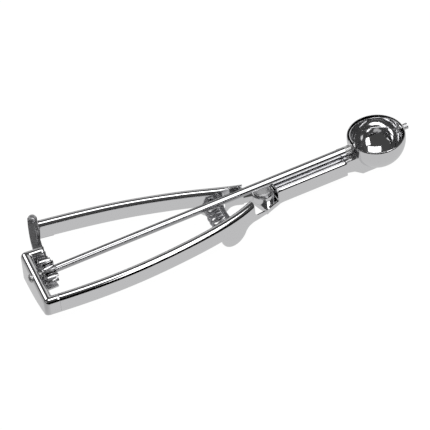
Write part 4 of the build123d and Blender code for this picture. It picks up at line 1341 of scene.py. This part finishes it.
@dataclass
class PivotGroup:
    """Pivot plate, eye, washer and hollow rivet."""

    bore: float = 3.5
    wall: float = 0.6
    flange: float = 4.7
    lip: float = 4.4
    flange_wall: float = 0.45
    washer: float = 5.7
    washer_wall: float = 0.4
    tube: float = 1.6
    plate_top: float = -2.2
    plate_wall: float = 0.9
    play: float = 0.05
    eye_wall: float = 3.9
    rivet_rounds: tuple = (0, 0.2, 0, 0.1, 0.1, 0, 0, 0.1, 0.2, 0.35, 0)
    washer_rounds: tuple = (0, 0.1, 0.15, 0, 0)

    def rivet(self) -> Shell:
        """Hollow rivet with a rolled flange at each end.

        Returns:
            The rivet.
        """
        bottom = self.plate_top - self.plate_wall - self.flange_wall
        foot = bottom - self.tube
        under = self.plate_top + 2 * self.play + self.eye_wall + self.washer_wall
        top = under + self.flange_wall
        outer = self.bore + self.wall
        corners = [(foot, self.bore), (foot, outer), (bottom, outer), (bottom, self.lip),
                   (bottom + self.flange_wall, self.lip), (bottom + self.flange_wall, outer), (under, outer),
                   (under, self.flange), (top, self.flange), (top, self.bore), (foot, self.bore)]
        return turned(rounded(corners, self.rivet_rounds, ARC_STEPS), (0, 0, 0), UP)

    def washer_ring(self) -> Shell:
        """Thin ring with broken edges.

        Returns:
            The washer.
        """
        low = self.plate_top + 2 * self.play + self.eye_wall
        inner = self.bore + self.wall
        corners = [(low, inner), (low, self.washer), (low + self.washer_wall, self.washer),
                   (low + self.washer_wall, inner), (low, inner)]
        return turned(rounded(corners, self.washer_rounds, EDGE_STEPS), (0, 0, 0), UP)

    def build(self, maker: Maker) -> None:
        """Make and place the group's pieces.

        Args:
            maker: Makes the pieces.
        """
        maker.piece("pivot_rivet", self.rivet(), SCREW_STEEL)
        maker.piece("pivot_washer", self.washer_ring(), SHEET_STEEL)
        maker.dressed("pivot_eye", SHEET_STEEL)
        maker.dressed("pivot_plate", SHEET_STEEL)


@dataclass
class RackGroup:
    """Rack and its stop screw."""

    def build(self, maker: Maker) -> None:
        """Make and place the group's pieces."""
        maker.dressed("rack", SHADED_RACK_STEEL)
        maker.dressed("rack_stop_screw", SCREW_STEEL)


# ------------------------------------------------------------------------------------ studio
@dataclass(frozen=True)
class Card:
    """A plain glowing card that hangs level over the bowl.

    Its corners are given as shares of its height: along +X, and towards the viewer.
    """

    name: str
    level: float
    marks: tuple[tuple[float, float], ...]


@dataclass
class Studio:
    """Floor, cards, lamp, world and camera, in metres unless a comment says otherwise."""

    bowl_centre: tuple[float, float, float] = (70.2, 0.0, 6.7)    # millimetres
    focal: float = 3551.166                                       # pixels of the picture
    picture: float = 430.0                                        # its width in pixels
    sensor: float = 36.0                                          # millimetres
    clip: tuple[float, float] = (0.05, 50.0)
    # Where the camera sees the bowl's centre, in millimetres to the right, down and ahead
    distance: tuple[float, float, float] = (87.11193873664817, -41.545407887068954, 1918.6200778713894)
    rows: tuple = ((0.8858713, -0.45824683, -0.07240077), (-0.36111809, -0.58313086, -0.72770332),
                   (0.29124862, 0.67079672, -0.68206012))
    floor_height: float = -9.35                                   # millimetres
    floor_half: float = 3.0
    floor_tone: float = 0.8
    floor_white: float = 1.06                                     # what the camera sees of it
    floor_glow: float = 0.92                                      # the rest of it takes the shadow
    floor_mirrored_and_shade: tuple[float, float] = (0.44, 0.62)            # in steel: darker past the housing as painted shade, and elsewhere
    floor_shade_change: tuple[float, float] = (-0.152, -0.136)          # where the painted shade goes over into the rest of the floor
    world_white: float = 1.0
    world_mirrored: float = 0.085
    world_soft: float = 0.6
    card_height: float = 1.8
    cards: tuple[Card, ...] = (
        Card("ceiling_panel", 3.0, ((0.52, 0.50), (-0.36, 0.05), (-0.14, -0.31), (0.66, 0.04))),
        Card("front_panel", 3.0, ((0.26, 0.56), (0.70, 0.62), (0.74, 1.70), (0.24, 1.70))),
        Card("back_panel", 0.62, ((0.62, -0.95), (2.2, -0.95), (6.0, -4.0), (0.55, -4.0), (0.33, -1.45))),
        Card("left_back_panel", 2.4, ((-0.18, -0.86), (-1.05, -1.05), (-1.10, -1.75), (-0.22, -1.28))),
        Card("end_panel", 1.1, ((-1.6, 0.3), (-2.6, 0.3), (-2.6, -0.5), (-1.6, -0.5))))
    flag_span: tuple[float, float] = (-0.4, 0.3)
    flag_y: float = -0.078
    flag_top: float = 0.045
    lamp_place: tuple[float, float, float] = (-0.3, -0.4, 1.2)
    lamp_aim: tuple[float, float, float] = (-0.03, 0.0, 0.0)
    lamp_size: tuple[float, float] = (0.8, 0.6)
    lamp_power: float = 6.0

    def camera(self) -> None:
        """Put the camera where it sees the bowl's centre at its measured distance.

        The rows are the directions of the picture's right, down and forward; the camera stands at the bowl's
        centre less the distance seen along each of them.
        """
        rows = np.asarray(self.rows)
        away = np.asarray(self.bowl_centre) - rows.T @ np.asarray(self.distance)
        data = bpy.data.cameras.new("camera")
        data.sensor_width = self.sensor
        data.lens = self.focal / self.picture * self.sensor
        data.clip_start, data.clip_end = self.clip
        made = bpy.data.objects.new("camera", data)
        matrix = np.eye(4)
        matrix[:3, :3] = np.column_stack([rows[0], -rows[1], -rows[2]])
        matrix[:3, 3] = away * MM
        made.matrix_world = Matrix(matrix.tolist())
        bpy.context.scene.collection.objects.link(made)
        bpy.context.scene.camera = made

    @staticmethod
    def sheet(name: str, corners: Sequence[Sequence[float]]) -> tuple[bpy.types.Object, bpy.types.NodeTree]:
        """Put up a flat stage sheet.

        Args:
            name: Name of the sheet and of its material.
            corners: Its corners.

        Returns:
            The object, and its material's empty node tree.
        """
        mesh = bpy.data.meshes.new(name)
        mesh.from_pydata([tuple(corner) for corner in corners], [], [tuple(range(len(corners)))])
        made = bpy.data.objects.new(name, mesh)
        bpy.context.scene.collection.objects.link(made)
        paint = bpy.data.materials.new(name)
        paint.use_nodes = True
        paint.node_tree.nodes.clear()
        mesh.materials.append(paint)
        return made, paint.node_tree

    def hang(self, name: str, corners: Sequence[Sequence[float]], level: float) -> None:
        """Hang a plain glowing sheet that only shiny surfaces see.

        Args:
            name: Its name.
            corners: Its corners.
            level: How brightly it glows.
        """
        made, tree = self.sheet(name, corners)
        glow = add_node(tree, "Emission", Strength=level)
        add_node(tree, "OutputMaterial", Surface=glow.outputs[0])
        made.visible_camera = False
        made.visible_diffuse = False
        made.visible_shadow = False

    def floor(self) -> None:
        """Pale floor: white to the camera with a soft shadow, grey where steel mirrors it, with painted shade
        that steel sees past the housing.
        """
        half, height = self.floor_half, self.floor_height * MM
        _, tree = self.sheet("floor", [(x, y, height) for x, y in
                                       ((-half, -half), (half, -half), (half, half), (-half, half))])
        path = add_node(tree, "LightPath")
        matt = add_node(tree, "BsdfDiffuse", Color=(*[self.floor_tone] * 3, 1.0)).outputs[0]
        white = add_node(tree, "Emission", Strength=self.floor_white).outputs[0]
        axes = add_node(tree, "SeparateXYZ", Vector=add_node(tree, "TexCoord").outputs["Object"])
        (near, far), (past, elsewhere) = self.floor_shade_change, self.floor_mirrored_and_shade
        # painted shade: steel sees the floor darker past the housing
        level = add_node(tree, "MapRange", Value=axes.outputs["X"], From_Min=near, From_Max=far, To_Min=past,
                         To_Max=elsewhere)
        mirrored = add_node(tree, "Emission", Strength=level.outputs["Result"]).outputs[0]
        seen = mixed(tree, path.outputs["Is Camera Ray"], matt, mixed(tree, self.floor_glow, matt, white))
        result = mixed(tree, path.outputs["Is Glossy Ray"], seen, mirrored)
        add_node(tree, "OutputMaterial", Surface=result)

    def world(self) -> None:
        """White to the camera, dim to steel, and a plain soft light to everything else."""
        made = bpy.data.worlds.new("studio")
        bpy.context.scene.world = made
        made.use_nodes = True
        tree = made.node_tree
        tree.nodes.clear()
        path = add_node(tree, "LightPath")
        white, mirrored, soft = [add_node(tree, "Background", Strength=level).outputs[0]
                                 for level in (self.world_white, self.world_mirrored, self.world_soft)]
        unseen = mixed(tree, path.outputs["Is Glossy Ray"], soft, mirrored)
        result = mixed(tree, path.outputs["Is Camera Ray"], unseen, white)
        add_node(tree, "OutputWorld", Surface=result)

    def lamp(self) -> None:
        """Hang a rectangular soft light that steel doesn't mirror."""
        data = bpy.data.lights.new("key", "AREA")
        data.shape = "RECTANGLE"
        data.size, data.size_y = self.lamp_size
        data.energy = self.lamp_power
        made = bpy.data.objects.new("key", data)
        made.visible_glossy = False
        made.location = self.lamp_place
        toward = Vector(self.lamp_aim) - Vector(self.lamp_place)
        made.rotation_euler = toward.to_track_quat("-Z", "Y").to_euler()
        bpy.context.scene.collection.objects.link(made)

    def flag(self) -> list[tuple[float, float, float]]:
        """Corners of the upright dark sheet in front of the tool."""
        (left, right), low = self.flag_span, self.floor_height * MM
        return [(left, self.flag_y, low), (right, self.flag_y, low), (right, self.flag_y, self.flag_top),
                (left, self.flag_y, self.flag_top)]

    def over_bowl(self, marks: Sequence[tuple[float, float]]) -> list[tuple[float, float, float]]:
        """Corners of a card from its marks."""
        height = self.card_height
        x, y, z = (value * MM for value in self.bowl_centre)
        return [(x + along * height, y - toward * height, z + height) for along, toward in marks]

    def build(self) -> None:
        """Set up the whole studio."""
        bpy.context.scene.view_settings.view_transform = "Standard"
        self.floor()
        self.world()
        self.camera()
        for card in self.cards:
            self.hang(card.name, self.over_bowl(card.marks), card.level)
        self.hang("front_flag", self.flag(), 0.0)
        self.lamp()


def main() -> None:
    """Load the frame, and build every group and the studio."""
    logging.basicConfig(level=logging.INFO, format="%(name)s %(message)s")
    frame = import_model()
    maker = Maker(frame)
    for kind in (BowlGroup, ShaftGroup, ArmGroup, HousingGroup, NeckGroup, PivotGroup, RackGroup):
        group = kind()
        group.build(maker)
        log.info("built %s", type(group).__name__)
    Studio().build()


if __name__ == "__main__":
    main()
